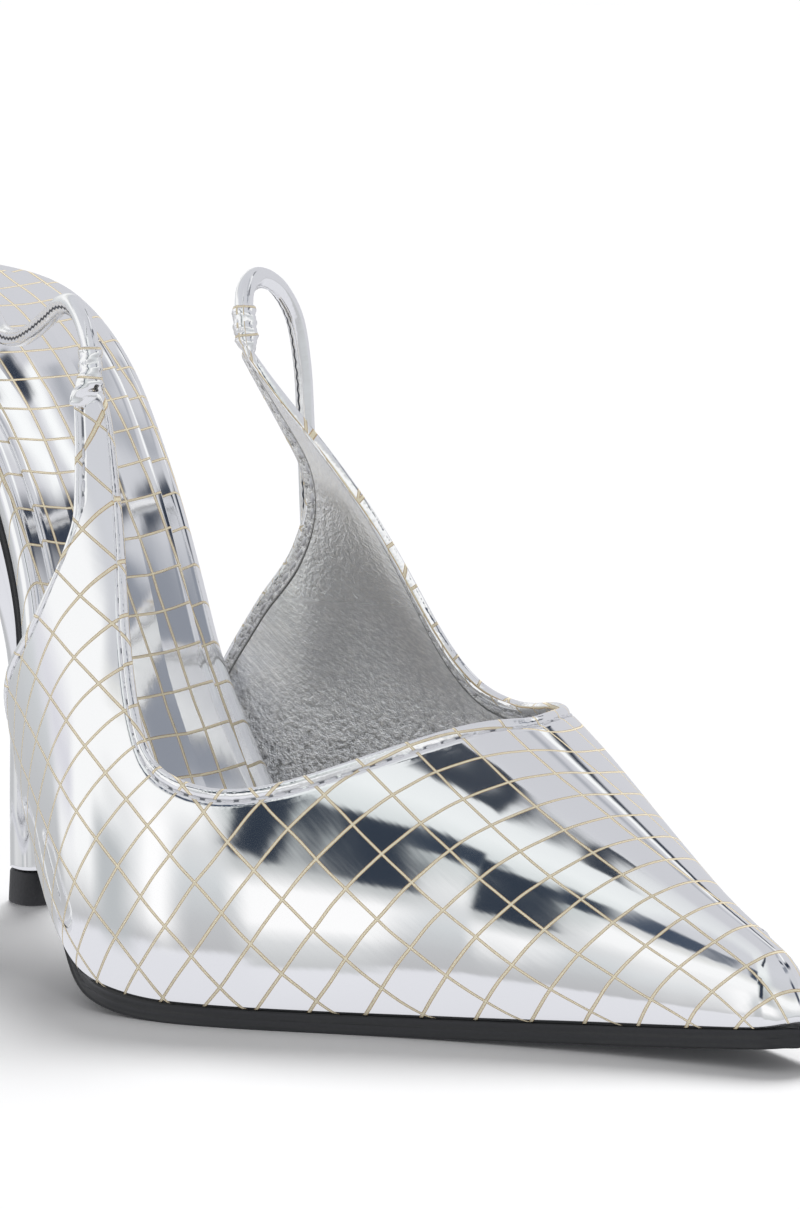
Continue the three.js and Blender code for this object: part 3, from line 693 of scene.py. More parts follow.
out_normals = through / np.linalg.norm(through, axis=2, keepdims=True)
stitch_level = int(np.argmin(np.abs(EDGE_LEVELS - STITCH_INSET)))
stitch_corners, stitch_faces = [], []
for skin, normals in ((outside, out_normals), (inside, -out_normals)):
    kept = from_rear[stitch_level] > 5
    rows = [(skin[stitch_level][kept], normals[stitch_level][kept])]
    rows += [rear_line(skin, normals, False), rear_line(skin, normals, True)]
    for line, outs in rows:
        corners, faces = stitch_row(line, outs)
        base = sum(len(done) for done in stitch_corners)
        stitch_corners.append(corners)
        stitch_faces += [[corner + base for corner in face] for face in faces]
stitch_mesh = bpy.data.meshes.new("edge_stitches")
stitch_mesh.from_pydata(place(np.vstack(stitch_corners)).tolist(), [], stitch_faces)
stitches = bpy.data.objects.new("edge_stitches", stitch_mesh)
bpy.context.scene.collection.objects.link(stitches)
close_shell(stitches)
hand_over(stitches, "mirror_leather")

# %% [markdown]
# ## The footbed
# The footbed is a board wrapped in the same leather, with a separate sock glued on top that stops a few
# millimetres before the edge. Both are led round the board's own outline: first the underside, then the
# side, the rounded edge and the top, and last a line along the middle, where the sheet closes.

# %% The board's outline
OUTLINE_STEPS = 150


def outline_places(end, end_radius):
    """Places along the shoe, closer together where its outline turns round."""
    turn = 16
    angles = (np.arange(turn) + 0.15) / turn * math.pi / 2
    near = SEAT_RADIUS * (1 - np.cos(angles))
    far = end - end_radius * (1 - np.cos(angles[::-1]))
    return np.concatenate([near, np.linspace(near[-1], far[0], OUTLINE_STEPS)[1:-1], far])


def outline_loop(inset, end):
    """The board's edge, once round: X, Y, and which way is out."""
    x = outline_places(end, TOE_RADIUS)
    half = half_width(x, -FIT_GAP) * round_end(end - x, TOE_RADIUS)
    middle = centre_line(x)
    loop = np.vstack([
        np.stack([x, middle - half], 1), np.stack([x[::-1], (middle + half)[::-1]], 1)
    ])
    ahead = np.roll(loop, -1, axis=0) - np.roll(loop, 1, axis=0)
    out = np.stack([ahead[:, 1], -ahead[:, 0]], 1)
    out /= np.linalg.norm(out, axis=1, keepdims=True)
    return loop - inset * out, out


def board_thickness(x):
    thinning = smoothstep(x / LAST_LENGTH, WING_HEEL, THIN_END)
    return INSOLE_THICKNESS + (INSOLE_TOE_THICKNESS - INSOLE_THICKNESS) * thinning


def board_rings(inset, end, steps):
    """Rings round a board: each step is how far in and how high it lies, the height as a share."""
    loop, out = outline_loop(inset, end)
    spine = np.stack([np.clip(loop[:, 0], 8, end - 8), centre_line(np.clip(loop[:, 0], 8, end - 8))], 1)
    rings = []
    for inward, height, towards_spine in steps:
        ring = loop - inward * out
        ring = ring + (spine - ring) * towards_spine
        x, z = profile_point(ring[:, 0], height(ring[:, 0]))
        rings.append(np.stack([x, ring[:, 1], z], 1))
    rings = np.array(rings)
    return np.concatenate([rings, rings[:, :1]], axis=1)


def dish_at(share):
    return FOOTBED_DISH * (1 - (1 - share) ** 2)


# %% [markdown]
# ## Board and sock
# The board is wrapped in the patterned film, over a rounded edge, and a thin padded sock lies on top. Both
# are rings that close towards a line along the middle. The pattern is laid down by how far along the
# board's profile and how far across it a point lies.

# %% Board and sock
BOARD_CORNER = 1.9
SOCK_INSET = 4.6
SOCK_THICKNESS = 0.45
board_end = LAST_LENGTH - 2 * FIT_GAP - INSOLE_TOE_THICKNESS


def rounded(inward, drop):
    return (inward, lambda x, drop=drop: board_thickness(x) - drop, 0)


def flat_pattern(rings):
    """A flat place for each point: along the board's profile, and across it."""
    fine = np.linspace(-2, LAST_LENGTH + 2, 600)
    slopes = np.gradient(feather_height(fine), fine)
    run = np.concatenate([[0], np.cumsum(np.hypot(1, slopes[1:]) * np.diff(fine))])
    return np.stack([np.interp(rings[..., 0], fine, run), rings[..., 1]], -1) * MM


corner_turn = [math.radians(angle) for angle in (0, 18, 36, 54, 72, 90)]
board_steps = [(0, lambda x: 0 * x, 1), (0, lambda x: 0 * x, 0.4), (0.3, lambda x: 0 * x, 0)]
board_steps += [(0, lambda x: 0 * x + 0.3, 0), rounded(0, BOARD_CORNER + 0.05)]
board_steps += [
    rounded(BOARD_CORNER * (1 - math.cos(angle)), BOARD_CORNER * (1 - math.sin(angle)))
    for angle in corner_turn
]
for share in (0.06, 0.14, 0.25, 0.4, 0.6, 0.8, 1):
    top = lambda x, share=share: board_thickness(x) - dish_at(share)
    board_steps.append((BOARD_CORNER, top, share))
board_rings_all = board_rings(0, board_end, board_steps)
footbed = grid_piece("footbed_board", board_rings_all)
lay_pattern(footbed, flat_pattern(board_rings_all))
close_shell(footbed)
hand_over(footbed, "footbed_leather", "insole")

sock_steps = [(0.5, lambda x: board_thickness(x) - dish_at(0.2) - 0.1, 1)]
for inward, height in ((0.3, -0.1), (0, 0.1), (0.02, 0.28), (0.12, 0.4), (0.3, SOCK_THICKNESS)):
    sock_steps.append((inward, lambda x, height=height: board_thickness(x) - dish_at(0.14) + height, 0))
for share in (0.1, 0.25, 0.45, 0.7, 1):
    part = 0.14 + 0.86 * share
    top = lambda x, part=part: board_thickness(x) - dish_at(part) + SOCK_THICKNESS
    sock_steps.append((0.3, top, share))
sock_rings = board_rings(SOCK_INSET, board_end - 3, sock_steps)
sock = grid_piece("footbed_sock", sock_rings)
lay_pattern(sock, flat_pattern(sock_rings))
close_shell(sock)
hand_over(sock, "footbed_leather")

# %% [markdown]
# ## The outsole
# The outsole is three millimetres of black sheet with its lower edge eased. It starts a little before
# the heel, follows the waist under the board, spreads to the upper's outer face and lies flat on the
# floor under the ball. Each section across it is the same short line, set out to the outline's width.

# %% Outsole
sole_start = SEAT_LENGTH + BREAST_GAP
sole_end = LAST_LENGTH + UPPER_WALL
SOLE_EASE = 0.5
REAR_LENGTH = 3
REAR_SHARE = 0.7


def sole_sections():
    turn = np.arange(14)[::-1] / 14 * math.pi / 2
    toe = sole_end - (TOE_RADIUS + UPPER_WALL) * (1 - np.cos(turn))
    x = np.concatenate([[sole_start], np.linspace(sole_start, toe[0], 170)[:-1], toe])
    spread = smoothstep(x / LAST_LENGTH, SPREAD_START, SPREAD_END)
    half = half_width(x, -SOLE_INSET + (SOLE_INSET + UPPER_WALL + SOLE_WELT) * spread)
    half *= np.clip((x - sole_start) / REAR_LENGTH, REAR_SHARE, 1)
    half[0] = 0
    half[-1] = 0
    middle = centre_line(np.minimum(x, LAST_LENGTH))
    ease = [math.radians(angle) for angle in (0, 30, 60, 90)]
    low = SOLE_THICKNESS
    edge = [(0.15, 0), (0, -0.15), (0, -1.3), (0.06, -1.4), (0.06, -1.5), (0, -1.6)]
    edge += [(SOLE_EASE * (1 - math.cos(a)), -low + SOLE_EASE * (1 - math.sin(a))) for a in ease]
    across = [(1 - share, 0, 0) for share in (1, 0.5)]
    across += [(1, -inward, height) for inward, height in edge]
    across += [(share, 0, -low) for share in (0.8, 0.4, 0)]
    section = across + [(-share, -inward, height) for share, inward, height in across[-2::-1]]
    rings = []
    for share, inward, height in section:
        out = np.sign(share) * np.minimum(-inward, half) if share else 0 * half
        y = middle + share * half - out
        place_x, z = profile_point(x, height - FIT_GAP)
        rings.append(np.stack([place_x, y, z], 1))
    return np.stack(rings, axis=1)


sole_rings = sole_sections()
outsole = grid_piece("outsole_sheet", sole_rings)
lay_pattern(outsole, sole_rings[..., :2] * MM)
close_shell(outsole)
hand_over(outsole, "sole_black", "outsole")

# %% [markdown]
# ## Heel and top piece
# The heel is a moulded core with a mirror shell. Each ring is a rounded rectangle between a back and a
# front that the table gives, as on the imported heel, but with enough rings for a smooth reflection. The
# top piece under it is a small black block with eased edges.

# %% Heel and top piece
HEEL_SIDES = 72
heel_shape = {name: column_of(HEEL_COLUMNS, HEEL_ROWS, "rise", name, 0.02) for name in HEEL_COLUMNS[1:]}
pin_back = PIN_PLACE - PIN_LENGTH / 2
pin_front = PIN_PLACE + PIN_LENGTH / 2
heel_foot = TOP_PIECE_HEIGHT + FIT_GAP
UNDER_SEAT = 1.6 * FIT_GAP


def heel_ring(back_x, front_x, half, square, height_at):
    angle = np.linspace(0, 2 * math.pi, HEEL_SIDES + 1)
    cos, sin = np.cos(angle), np.sin(angle)
    x = (back_x + front_x) / 2 + (front_x - back_x) / 2 * np.sign(cos) * np.abs(cos) ** (2 / square)
    y = half * np.sign(sin) * np.abs(sin) ** (2 / square)
    return np.stack([x, y, height_at(x)], 1)


def heel_rings():
    rings = []
    for rise in np.linspace(0, 1, 110):
        back_x = pin_back + (1 - pin_back) * heel_shape["back"](rise)
        front_x = pin_front + (SEAT_LENGTH - pin_front) * heel_shape["front"](rise)
        half = PIN_WIDTH / 2 + (SEAT_WIDTH / 2 - HEEL_INSET - PIN_WIDTH / 2) * heel_shape["width"](rise)

        def height_at(x, rise=rise):
            return heel_foot + (profile_point(x, 0)[1] - UNDER_SEAT - heel_foot) * rise

        rings.append(heel_ring(back_x, front_x, half, heel_shape["square"](rise), height_at))
    low, high = rings[0], rings[-1]
    low_middle, high_middle = low.mean(axis=0), high.mean(axis=0)
    eased = low_middle + (low - low_middle) * 0.96
    rings[0] = low + [0, 0, 0.25]
    return np.array([0 * low + low_middle, eased, *rings, 0 * high + high_middle])


heel_points = heel_rings()
heel = grid_piece("heel_shell", heel_points)
close_shell(heel)
hand_over(heel, "heel_shell", "heel")


def top_piece_rings():
    rings = []
    section = [(4, 0), (0.35, 0), (0.1, 0.1), (0, 0.35), (0, 5.8), (0.15, 6.1), (0.5, 6.2), (4, 6.2)]
    for inward, height in section:
        flare = TOP_PIECE_FLARE * (1 - height / TOP_PIECE_HEIGHT) - inward
        half = PIN_WIDTH / 2 + flare
        rings.append(heel_ring(pin_back - flare, pin_front + flare, half, 2.6, lambda x: 0 * x + height))
    middle = rings[0].mean(axis=0)
    rings[0] = 0 * rings[0] + middle
    rings[-1] = 0 * rings[-1] + middle + [0, 0, TOP_PIECE_HEIGHT]
    return np.array(rings)


top_piece = grid_piece("heel_tip", top_piece_rings())
close_shell(top_piece)
hand_over(top_piece, "top_piece_black", "heel_top_piece")

# %% [markdown]
# ## The laces
# Each lace is a strip of the mirror leather, rolled round a core and sewn along its edge, which leaves a
# narrow fin with a row of stitches. A short section, round with one fin, is led along the lace's route.
# The section turns slowly on the way, as a free lace does.

# %% Laces
LACE_SIDES = 20
LACE_BODY = 1.62
LACE_FIN = 0.55
FIN_SPREAD = 0.3
LACE_TURNS = {"lateral": (0.25, 1.1), "medial": (0.1, -0.9)}


def unit(vectors):
    return vectors / np.linalg.norm(vectors, axis=-1, keepdims=True)


def carried_frame(line, first_side):
    """A side and an up direction along a line, which turn no more than the line does."""
    ahead = unit(np.gradient(line, axis=0))
    sides = [unit(first_side - ahead[0] * (first_side @ ahead[0]))]
    for heading in ahead[1:]:
        side = sides[-1] - heading * (sides[-1] @ heading)
        sides.append(side / np.linalg.norm(side))
    sides = np.array(sides)
    return sides, np.cross(ahead, sides)


def lace_rings(route, start_turn, turns):
    run = np.arange(len(route), dtype=float)
    ends = np.array([0.1, 0.3, 0.6])
    stops = np.concatenate([[0], ends, run[1:-1], run[-1] - ends[::-1], [run[-1]]])
    line = np.stack([np.interp(stops, run, route[:, k]) for k in range(3)], 1)
    sides, ups = carried_frame(line, np.array([0, 1.0, 0]))
    angle = np.linspace(0, 2 * math.pi, LACE_SIDES + 1)
    wrapped = np.minimum(angle, 2 * math.pi - angle)
    radius = LACE_BODY + LACE_FIN * np.exp(-((wrapped / FIN_SPREAD) ** 2))
    closing = round_end(np.minimum(stops, run[-1] - stops), 1.2)
    turn = 2 * math.pi * (start_turn + turns * stops / run[-1])
    facing = angle[None, :] + turn[:, None]
    reach = (radius[None, :] * closing[:, None])[..., None]
    rings = line[:, None] + reach * (
        np.cos(facing)[..., None] * sides[:, None] + np.sin(facing)[..., None] * ups[:, None]
    )
    flat = np.stack(np.broadcast_arrays(stops[:, None], LACE_BODY * angle[None, :]), -1) * MM
    return rings, flat


for name, route in routes.items():
    rings, flat = lace_rings(route, *LACE_TURNS[name])
    lace = grid_piece("lace_" + name + "_strip", rings)
    lay_pattern(lace, flat)
    close_shell(lace)
    hand_over(lace, "lace_silver", "lace_" + name)
    path = place(route)

# %% [markdown]
# ## The tips of the wings
# At each tip the leather is folded round the end of its lace and sewn through, which leaves a short
# wrinkled tab. It is a flattened tube, led from just under the tip up along the first millimetres of the
# lace, and the wrinkles are soft waves across it.

# %% Tabs
TAB_START = 5
TAB_REACH = 6
TAB_SIDES = 28
TAB_STEPS = 26


def tab_rings(side):
    last_strip = 0 if side == "lateral" else -1
    run = round_run[0] if side == "lateral" else round_run[0, -1] - round_run[0]
    order = np.argsort(run)
    middle = (inner_skin + outer_skin) / 2
    on_top = np.array([np.interp(TAB_START, run[order], middle[0][order][:, k]) for k in range(3)])
    rear = middle[:, last_strip]
    on_rear = np.array([np.interp(TAB_START, from_top[:, last_strip], rear[:, k]) for k in range(3)])
    low = (on_top + on_rear) / 2
    width = np.linalg.norm(on_top - on_rear)
    high = routes[side][TAB_REACH]
    bend = routes[side][1]
    t = np.linspace(0, 1, TAB_STEPS)[:, None]
    line = (1 - t) ** 2 * low + 2 * t * (1 - t) * bend + t * t * high
    across = unit(on_top - on_rear)
    print("Tab", side, "is", round(float(width), 1), "mm wide at its foot")
    sides, ups = carried_frame(line, across)
    t = t[:, 0]
    half_wide = width / 2 - 0.5 + (2.5 - width / 2) * smoothstep(t, 0, 0.6)
    half_thick = 0.3 + 1.75 * smoothstep(t, 0, 0.45)
    angle = np.linspace(0, 2 * math.pi, TAB_SIDES + 1)
    wave = 0.1 * np.sin(9 * t[:, None] * 2 * math.pi + 2.3 * np.sin(angle)) * np.sin(math.pi * t[:, None])
    wave += 0.12 * np.sin(4.3 * t[:, None] * 2 * math.pi - 3.1 * np.cos(angle + 0.7))
    close = round_end(t, 0.06)[:, None] * round_end(1 - t, 0.06)[:, None]
    cos = np.cos(angle) * (half_wide[:, None] + wave) * close
    sin = np.sin(angle) * (half_thick[:, None] + wave) * close
    rings = line[:, None] + cos[..., None] * sides[:, None] + sin[..., None] * ups[:, None]
    flat = np.stack(np.broadcast_arrays(t[:, None] * 14, 3 * angle[None, :]), -1) * MM
    return rings, flat


for side in routes:
    rings, flat = tab_rings(side)
    tab = grid_piece("tip_tab_" + side, rings)
    lay_pattern(tab, flat)
    close_shell(tab)
    hand_over(tab, "mirror_leather")

# %% [markdown]
# ## Building finishes
# Every finish below is built from a few nodes. These helpers add a node, join its inputs, and turn a
# colour as a picture editor shows it into the linear one that light needs.

# %% Node helpers
def colour(red, green, blue):
    shares = [value / 255 for value in (red, green, blue)]
    linear = [s / 12.92 if s < 0.04045 else ((s + 0.055) / 1.055) ** 2.4 for s in shares]
    return (*linear, 1)


def join(tree, value, socket):
    if isinstance(value, bpy.types.NodeSocket):
        tree.links.new(value, socket)
    else:
        socket.default_value = value


def add(tree, kind, settings=None, **inputs):
    """Adds a node. An input's name has underscores where the socket's has spaces."""
    node = tree.nodes.new("ShaderNode" + kind)
    for key, value in (settings or {}).items():
        setattr(node, key, value)
    for key, value in inputs.items():
        join(tree, value, node.inputs[key.replace("_", " ")])
    return node


def sum_of(tree, operation, *values, clamp=False):
    node = add(tree, "Math", {"operation": operation, "use_clamp": clamp})
    for socket, value in zip(node.inputs, values):
        join(tree, value, socket)
    return node.outputs[0]


def vector_of(tree, operation, *values):
    node = add(tree, "VectorMath", {"operation": operation})
    for socket, value in zip(node.inputs, values):
        join(tree, value, socket)
    return node.outputs[1] if operation in ("LENGTH", "DOT_PRODUCT") else node.outputs[0]


def step_between(tree, value, start, end):
    """0 below start, 1 above end, smooth between."""
    node = add(tree, "MapRange", {"interpolation_type": "SMOOTHSTEP"})
    for name, number in (("Value", value), ("From Min", start), ("From Max", end)):
        join(tree, number, node.inputs[name])
    return node.outputs[0]


def blend_of(tree, share, low, high):
    node = add(tree, "Mix", {"data_type": "RGBA"})
    join(tree, share, node.inputs[0])
    join(tree, low, node.inputs[6])
    join(tree, high, node.inputs[7])
    return node.outputs[2]


def noise_of(tree, place_at, size, detail=2.0, rough=0.5, seed=0.0):
    """Noise whose features are about size metres wide, from 0 to 1."""
    node = add(tree, "TexNoise", {"noise_dimensions": "4D"})
    scaled = vector_of(tree, "SCALE", place_at)
    scaled.node.inputs["Scale"].default_value = 1 / size
    for name, value in (("Vector", scaled), ("W", seed), ("Scale", 1.0), ("Detail", detail), ("Roughness", rough)):
        join(tree, value, node.inputs[name])
    return node.outputs[0]


def new_group(name, inputs, outputs):
    """A node group. inputs and outputs are pairs of a socket's name and kind."""
    tree = bpy.data.node_groups.new(name, "ShaderNodeTree")
    for socket_name, kind in inputs:
        tree.interface.new_socket(name=socket_name, in_out="INPUT", socket_type="NodeSocket" + kind)
    for socket_name, kind in outputs:
        tree.interface.new_socket(name=socket_name, in_out="OUTPUT", socket_type="NodeSocket" + kind)
    return tree, tree.nodes.new("NodeGroupInput"), tree.nodes.new("NodeGroupOutput")


def use_group(tree, group, **inputs):
    node = tree.nodes.new("ShaderNodeGroup")
    node.node_tree = group
    for key, value in inputs.items():
        join(tree, value, node.inputs[key.replace("_", " ")])
    return node


def new_material(name):
    material = bpy.data.materials.new(name)
    material.use_nodes = True
    tree = material.node_tree
    return material, tree, tree.nodes["Principled BSDF"]


def wear(material, *pieces):
    for piece in pieces:
        piece.data.materials.clear()
        piece.data.materials.append(material)


# %% [markdown]
# ## The grid in the mirror film
# The film is cut through along a grid, and the cream backing shows in the cuts. The group gives the
# cut's mask, its darker lips, and the film's height: each tile bulges a little and tips its own way, so
# that a reflection breaks at every line. It also ripples the film, in fine ribs and in slow waves.

# %% Tile group
LINE_WIDTH = 0.0004
LIP_WIDTH = 0.0001
CUT_DEPTH = 0.00005
TILE_BULGE = 0.000012
TILE_TIP = 0.00005
RIB_HEIGHT = 0.000004
WAVE_HEIGHT = 0.00005


def make_tiles():
    tree, given, made = new_group(
        "mirror_tiles",
        [("Flat", "Vector"), ("Length", "Float"), ("Width", "Float"), ("Waves", "Float")],
        [("Cut", "Float"), ("Lip", "Float"), ("Height", "Float")],
    )
    flat, length, width = given.outputs["Flat"], given.outputs["Length"], given.outputs["Width"]
    wander = noise_of(tree, flat, 0.012, 1.0)
    wander = sum_of(tree, "MULTIPLY", sum_of(tree, "SUBTRACT", wander, 0.5), 0.0009)
    parts = add(tree, "SeparateXYZ", Vector=flat)
    counts, nearest, tips = [], [], []
    for axis, pitch in ((0, length), (1, width)):
        place_at = sum_of(tree, "ADD", parts.outputs[axis], wander)
        count = sum_of(tree, "DIVIDE", place_at, pitch)
        inside = sum_of(tree, "SUBTRACT", sum_of(tree, "FRACT", count), 0.5)
        from_line = sum_of(tree, "SUBTRACT", 0.5, sum_of(tree, "ABSOLUTE", inside))
        counts.append(sum_of(tree, "FLOOR", count))
        nearest.append(sum_of(tree, "MULTIPLY", from_line, pitch))
        tips.append(inside)
    distance = sum_of(tree, "MINIMUM", *nearest)
    tile = add(tree, "CombineXYZ", X=counts[0], Y=counts[1])
    dice = add(tree, "TexWhiteNoise", {"noise_dimensions": "3D"}, Vector=tile.outputs[0])
    throws = add(tree, "SeparateColor", Color=dice.outputs["Color"])
    cut = sum_of(tree, "SUBTRACT", 1, step_between(tree, distance, LINE_WIDTH * 0.3, LINE_WIDTH * 0.5))
    lip = step_between(tree, distance, LINE_WIDTH * 0.5, LINE_WIDTH * 0.5 + LIP_WIDTH)
    lip = sum_of(tree, "SUBTRACT", 1, lip)
    tip = 0
    for axis in (0, 1):
        lean = sum_of(tree, "SUBTRACT", throws.outputs[axis], 0.5)
        tip = sum_of(tree, "ADD", tip, sum_of(tree, "MULTIPLY", lean, tips[axis]))
    bulge = [sum_of(tree, "SUBTRACT", 0.25, sum_of(tree, "MULTIPLY", t, t)) for t in tips]
    bulge = sum_of(tree, "MULTIPLY", sum_of(tree, "MULTIPLY", *bulge), 16 * TILE_BULGE)
    stretched = add(tree, "Mapping", {"vector_type": "POINT"}, Vector=flat, Scale=(0.16, 1, 1))
    ribs = noise_of(tree, stretched.outputs[0], 0.0011, 1.0, 0.4)
    waves = noise_of(tree, flat, 0.013, 1.0, 0.4, 3.0)
    height = sum_of(tree, "ADD", bulge, sum_of(tree, "MULTIPLY", tip, TILE_TIP))
    height = sum_of(tree, "ADD", height, sum_of(tree, "MULTIPLY", ribs, RIB_HEIGHT))
    waves = sum_of(tree, "MULTIPLY", waves, sum_of(tree, "MULTIPLY", given.outputs["Waves"], WAVE_HEIGHT))
    height = sum_of(tree, "ADD", height, waves)
    height = sum_of(tree, "SUBTRACT", height, sum_of(tree, "MULTIPLY", cut, CUT_DEPTH))
    for name, value in (("Cut", cut), ("Lip", lip), ("Height", height)):
        join(tree, value, made.inputs[name])
    return tree


tile_group = make_tiles()
print("Tiles are", 1000 * TILE_LENGTH, "by", 1000 * TILE_WIDTH, "mm")

# %% [markdown]
# ## Mirror leather
# The film is nearly a mirror, a little blue. The cut's floor is pale cream and dull, with tan lips where
# the film was burnt. Near a turned edge the leather puckers round each stitch, so the upper's material
# adds a short wave along the edge, which the stored distance from the edge switches on. Along the stitch
# row it also paints the film darker in short dashes, as painted shade in the trough and the puckers.

# %% Mirror leather
FILM = colour(247, 247, 248)
CUT_CREAM = colour(255, 245, 216)
CUT_TAN = colour(208, 178, 134)
SEAM_SHADE = colour(120, 122, 128)


def mirror_leather(name, length, width, waves, roughness, pucker):
    material, tree, film = new_material(name)
    flat = add(tree, "UVMap").outputs[0]
    tiles = use_group(tree, tile_group, Flat=flat, Length=length, Width=width, Waves=waves)
    height = tiles.outputs["Height"]
    film.inputs["Base Color"].default_value = FILM
    film.inputs["Metallic"].default_value = 1
    film.inputs["Roughness"].default_value = roughness
    if pucker:
        edge = add(tree, "Attribute", {"attribute_name": "edge"}).outputs["Fac"]
        near = sum_of(tree, "SUBTRACT", 1, step_between(tree, edge, 0.4, 4.5))
        body = add(tree, "TexCoord").outputs["Object"]
        # The stitch row is painted darker and rougher in short dashes: painted shade in its trough and puckers.
        off_seam = sum_of(tree, "ABSOLUTE", sum_of(tree, "SUBTRACT", edge, STITCH_INSET))
        seam = sum_of(tree, "SUBTRACT", 1, step_between(tree, off_seam, 0.1, 0.4))
        broken = step_between(tree, noise_of(tree, body, 0.0016, 1.0), 0.38, 0.56)
        seam = sum_of(tree, "MULTIPLY", seam, broken)
        join(tree, blend_of(tree, seam, FILM, SEAM_SHADE), film.inputs["Base Color"])
        join(tree, sum_of(tree, "MULTIPLY_ADD", seam, 0.3, roughness), film.inputs["Roughness"])
        folds = noise_of(tree, body, 0.0021, 2.0, 0.55)
        folds = sum_of(tree, "MULTIPLY", folds, sum_of(tree, "MULTIPLY", near, pucker))
        height = sum_of(tree, "ADD", height, folds)
    bump = add(tree, "Bump", Height=height, Strength=1.0, Distance=1.0)
    join(tree, bump.outputs[0], film.inputs["Normal"])
    backing = add(tree, "BsdfPrincipled", Roughness=0.55)
    shade = blend_of(tree, tiles.outputs["Cut"], CUT_TAN, CUT_CREAM)
    join(tree, shade, backing.inputs["Base Color"])
    join(tree, bump.outputs[0], backing.inputs["Normal"])
    surface = add(tree, "MixShader")
    join(tree, tiles.outputs["Lip"], surface.inputs[0])
    join(tree, film.outputs[0], surface.inputs[1])
    join(tree, backing.outputs[0], surface.inputs[2])
    join(tree, surface.outputs[0], tree.nodes["Material Output"].inputs["Surface"])
    return material


upper_film = mirror_leather("upper_film", TILE_LENGTH, TILE_WIDTH, 1.0, 0.06, 0.00012)
footbed_film = mirror_leather("footbed_film", 0.0075, 0.0058, 0.6, 0.07, 0)
tab_film = mirror_leather("tab_film", TILE_LENGTH, TILE_WIDTH, 1.6, 0.1, 0)

# %% [markdown]
# ## Lining, thread and laces
# The lining is silver foil on soft leather: dull, brushed along its length, with coarse creases that
# sparkle where it was pulled over the last's edge. Its colour adds painted highlights as bright flecks in
# the creases, painted shade as dark flecks in the low creases and along the hem and as a dark line at the
# hem's groove, and painted light that makes it paler higher up. The laces wear the same film without the
# grid, and beside their fin runs a dark row of stitches.

# %% Lining, thread and laces
HEM_WIDTH = 3.4


def make_lining():
    material, tree, foil = new_material("lining_foil")
    body = add(tree, "TexCoord").outputs["Object"]
    turned = add(tree, "Mapping", {"vector_type": "POINT"}, Vector=body, Rotation=(0, math.radians(-32), 0))
    brushed = add(tree, "Mapping", {"vector_type": "POINT"}, Vector=turned.outputs[0], Scale=(0.05, 1, 1))
    streaks = noise_of(tree, brushed.outputs[0], 0.00045, 2.0, 0.6)
    grain = noise_of(tree, body, 0.0011, 3.0, 0.7, 2.0)
    height_at = add(tree, "SeparateXYZ", Vector=body).outputs[2]
    low = sum_of(tree, "SUBTRACT", 1, step_between(tree, height_at, 0.03, 0.052))
    edge = add(tree, "Attribute", {"attribute_name": "edge"}).outputs["Fac"]
    hem = sum_of(tree, "SUBTRACT", 1, step_between(tree, edge, HEM_WIDTH, HEM_WIDTH + 0.3))
    # A thin line at the hem's groove, painted dark further down as the shadow between the hem and the lining.
    step = sum_of(tree, "ABSOLUTE", sum_of(tree, "SUBTRACT", edge, HEM_WIDTH))
    step = sum_of(tree, "SUBTRACT", 1, step_between(tree, step, 0.1, 0.45))
    creased = sum_of(tree, "ADD", 0.2, sum_of(tree, "MAXIMUM", low, hem))
    height = sum_of(tree, "MULTIPLY", streaks, 0.00008)
    crumpled = sum_of(tree, "MULTIPLY", grain, sum_of(tree, "MULTIPLY", creased, 0.0008))
    height = sum_of(tree, "ADD", height, crumpled)
    height = sum_of(tree, "ADD", height, sum_of(tree, "MULTIPLY", hem, 0.0002))
    bump = add(tree, "Bump", Height=height, Strength=1.0, Distance=1.0)
    join(tree, bump.outputs[0], foil.inputs["Normal"])
    scratch = step_between(tree, streaks, 0.4, 0.7)
    shade = blend_of(tree, scratch, colour(228, 229, 231), colour(255, 255, 255))
    # Painted light: higher up, the lining is painted paler, as where the wing's top catches more light.
    pale = step_between(tree, height_at, 0.05, 0.08)
    shade = blend_of(tree, pale, shade, colour(255, 255, 255))
    # Painted highlights: bright flecks, strongest in the creases, stand in for their sparkle.
    painted_glint = sum_of(tree, "MULTIPLY", step_between(tree, grain, 0.52, 0.62), creased)
    # Painted shade: dark flecks in the low creases and along the hem, with the dark line at the hem's groove.
    crease_shade = sum_of(tree, "SUBTRACT", 1, step_between(tree, grain, 0.36, 0.48))
    crease_shade = sum_of(tree, "MAXIMUM", sum_of(tree, "MULTIPLY", crease_shade, sum_of(tree, "MAXIMUM", low, hem)), step)
    shade = blend_of(tree, painted_glint, shade, colour(255, 255, 255))
    shade = blend_of(tree, sum_of(tree, "MULTIPLY", crease_shade, 0.65), shade, colour(120, 119, 118))
    join(tree, shade, foil.inputs["Base Color"])
    foil.inputs["Metallic"].default_value = 0.95
    join(tree, sum_of(tree, "MULTIPLY_ADD", pale, -0.08, 0.3), foil.inputs["Roughness"])
    return material


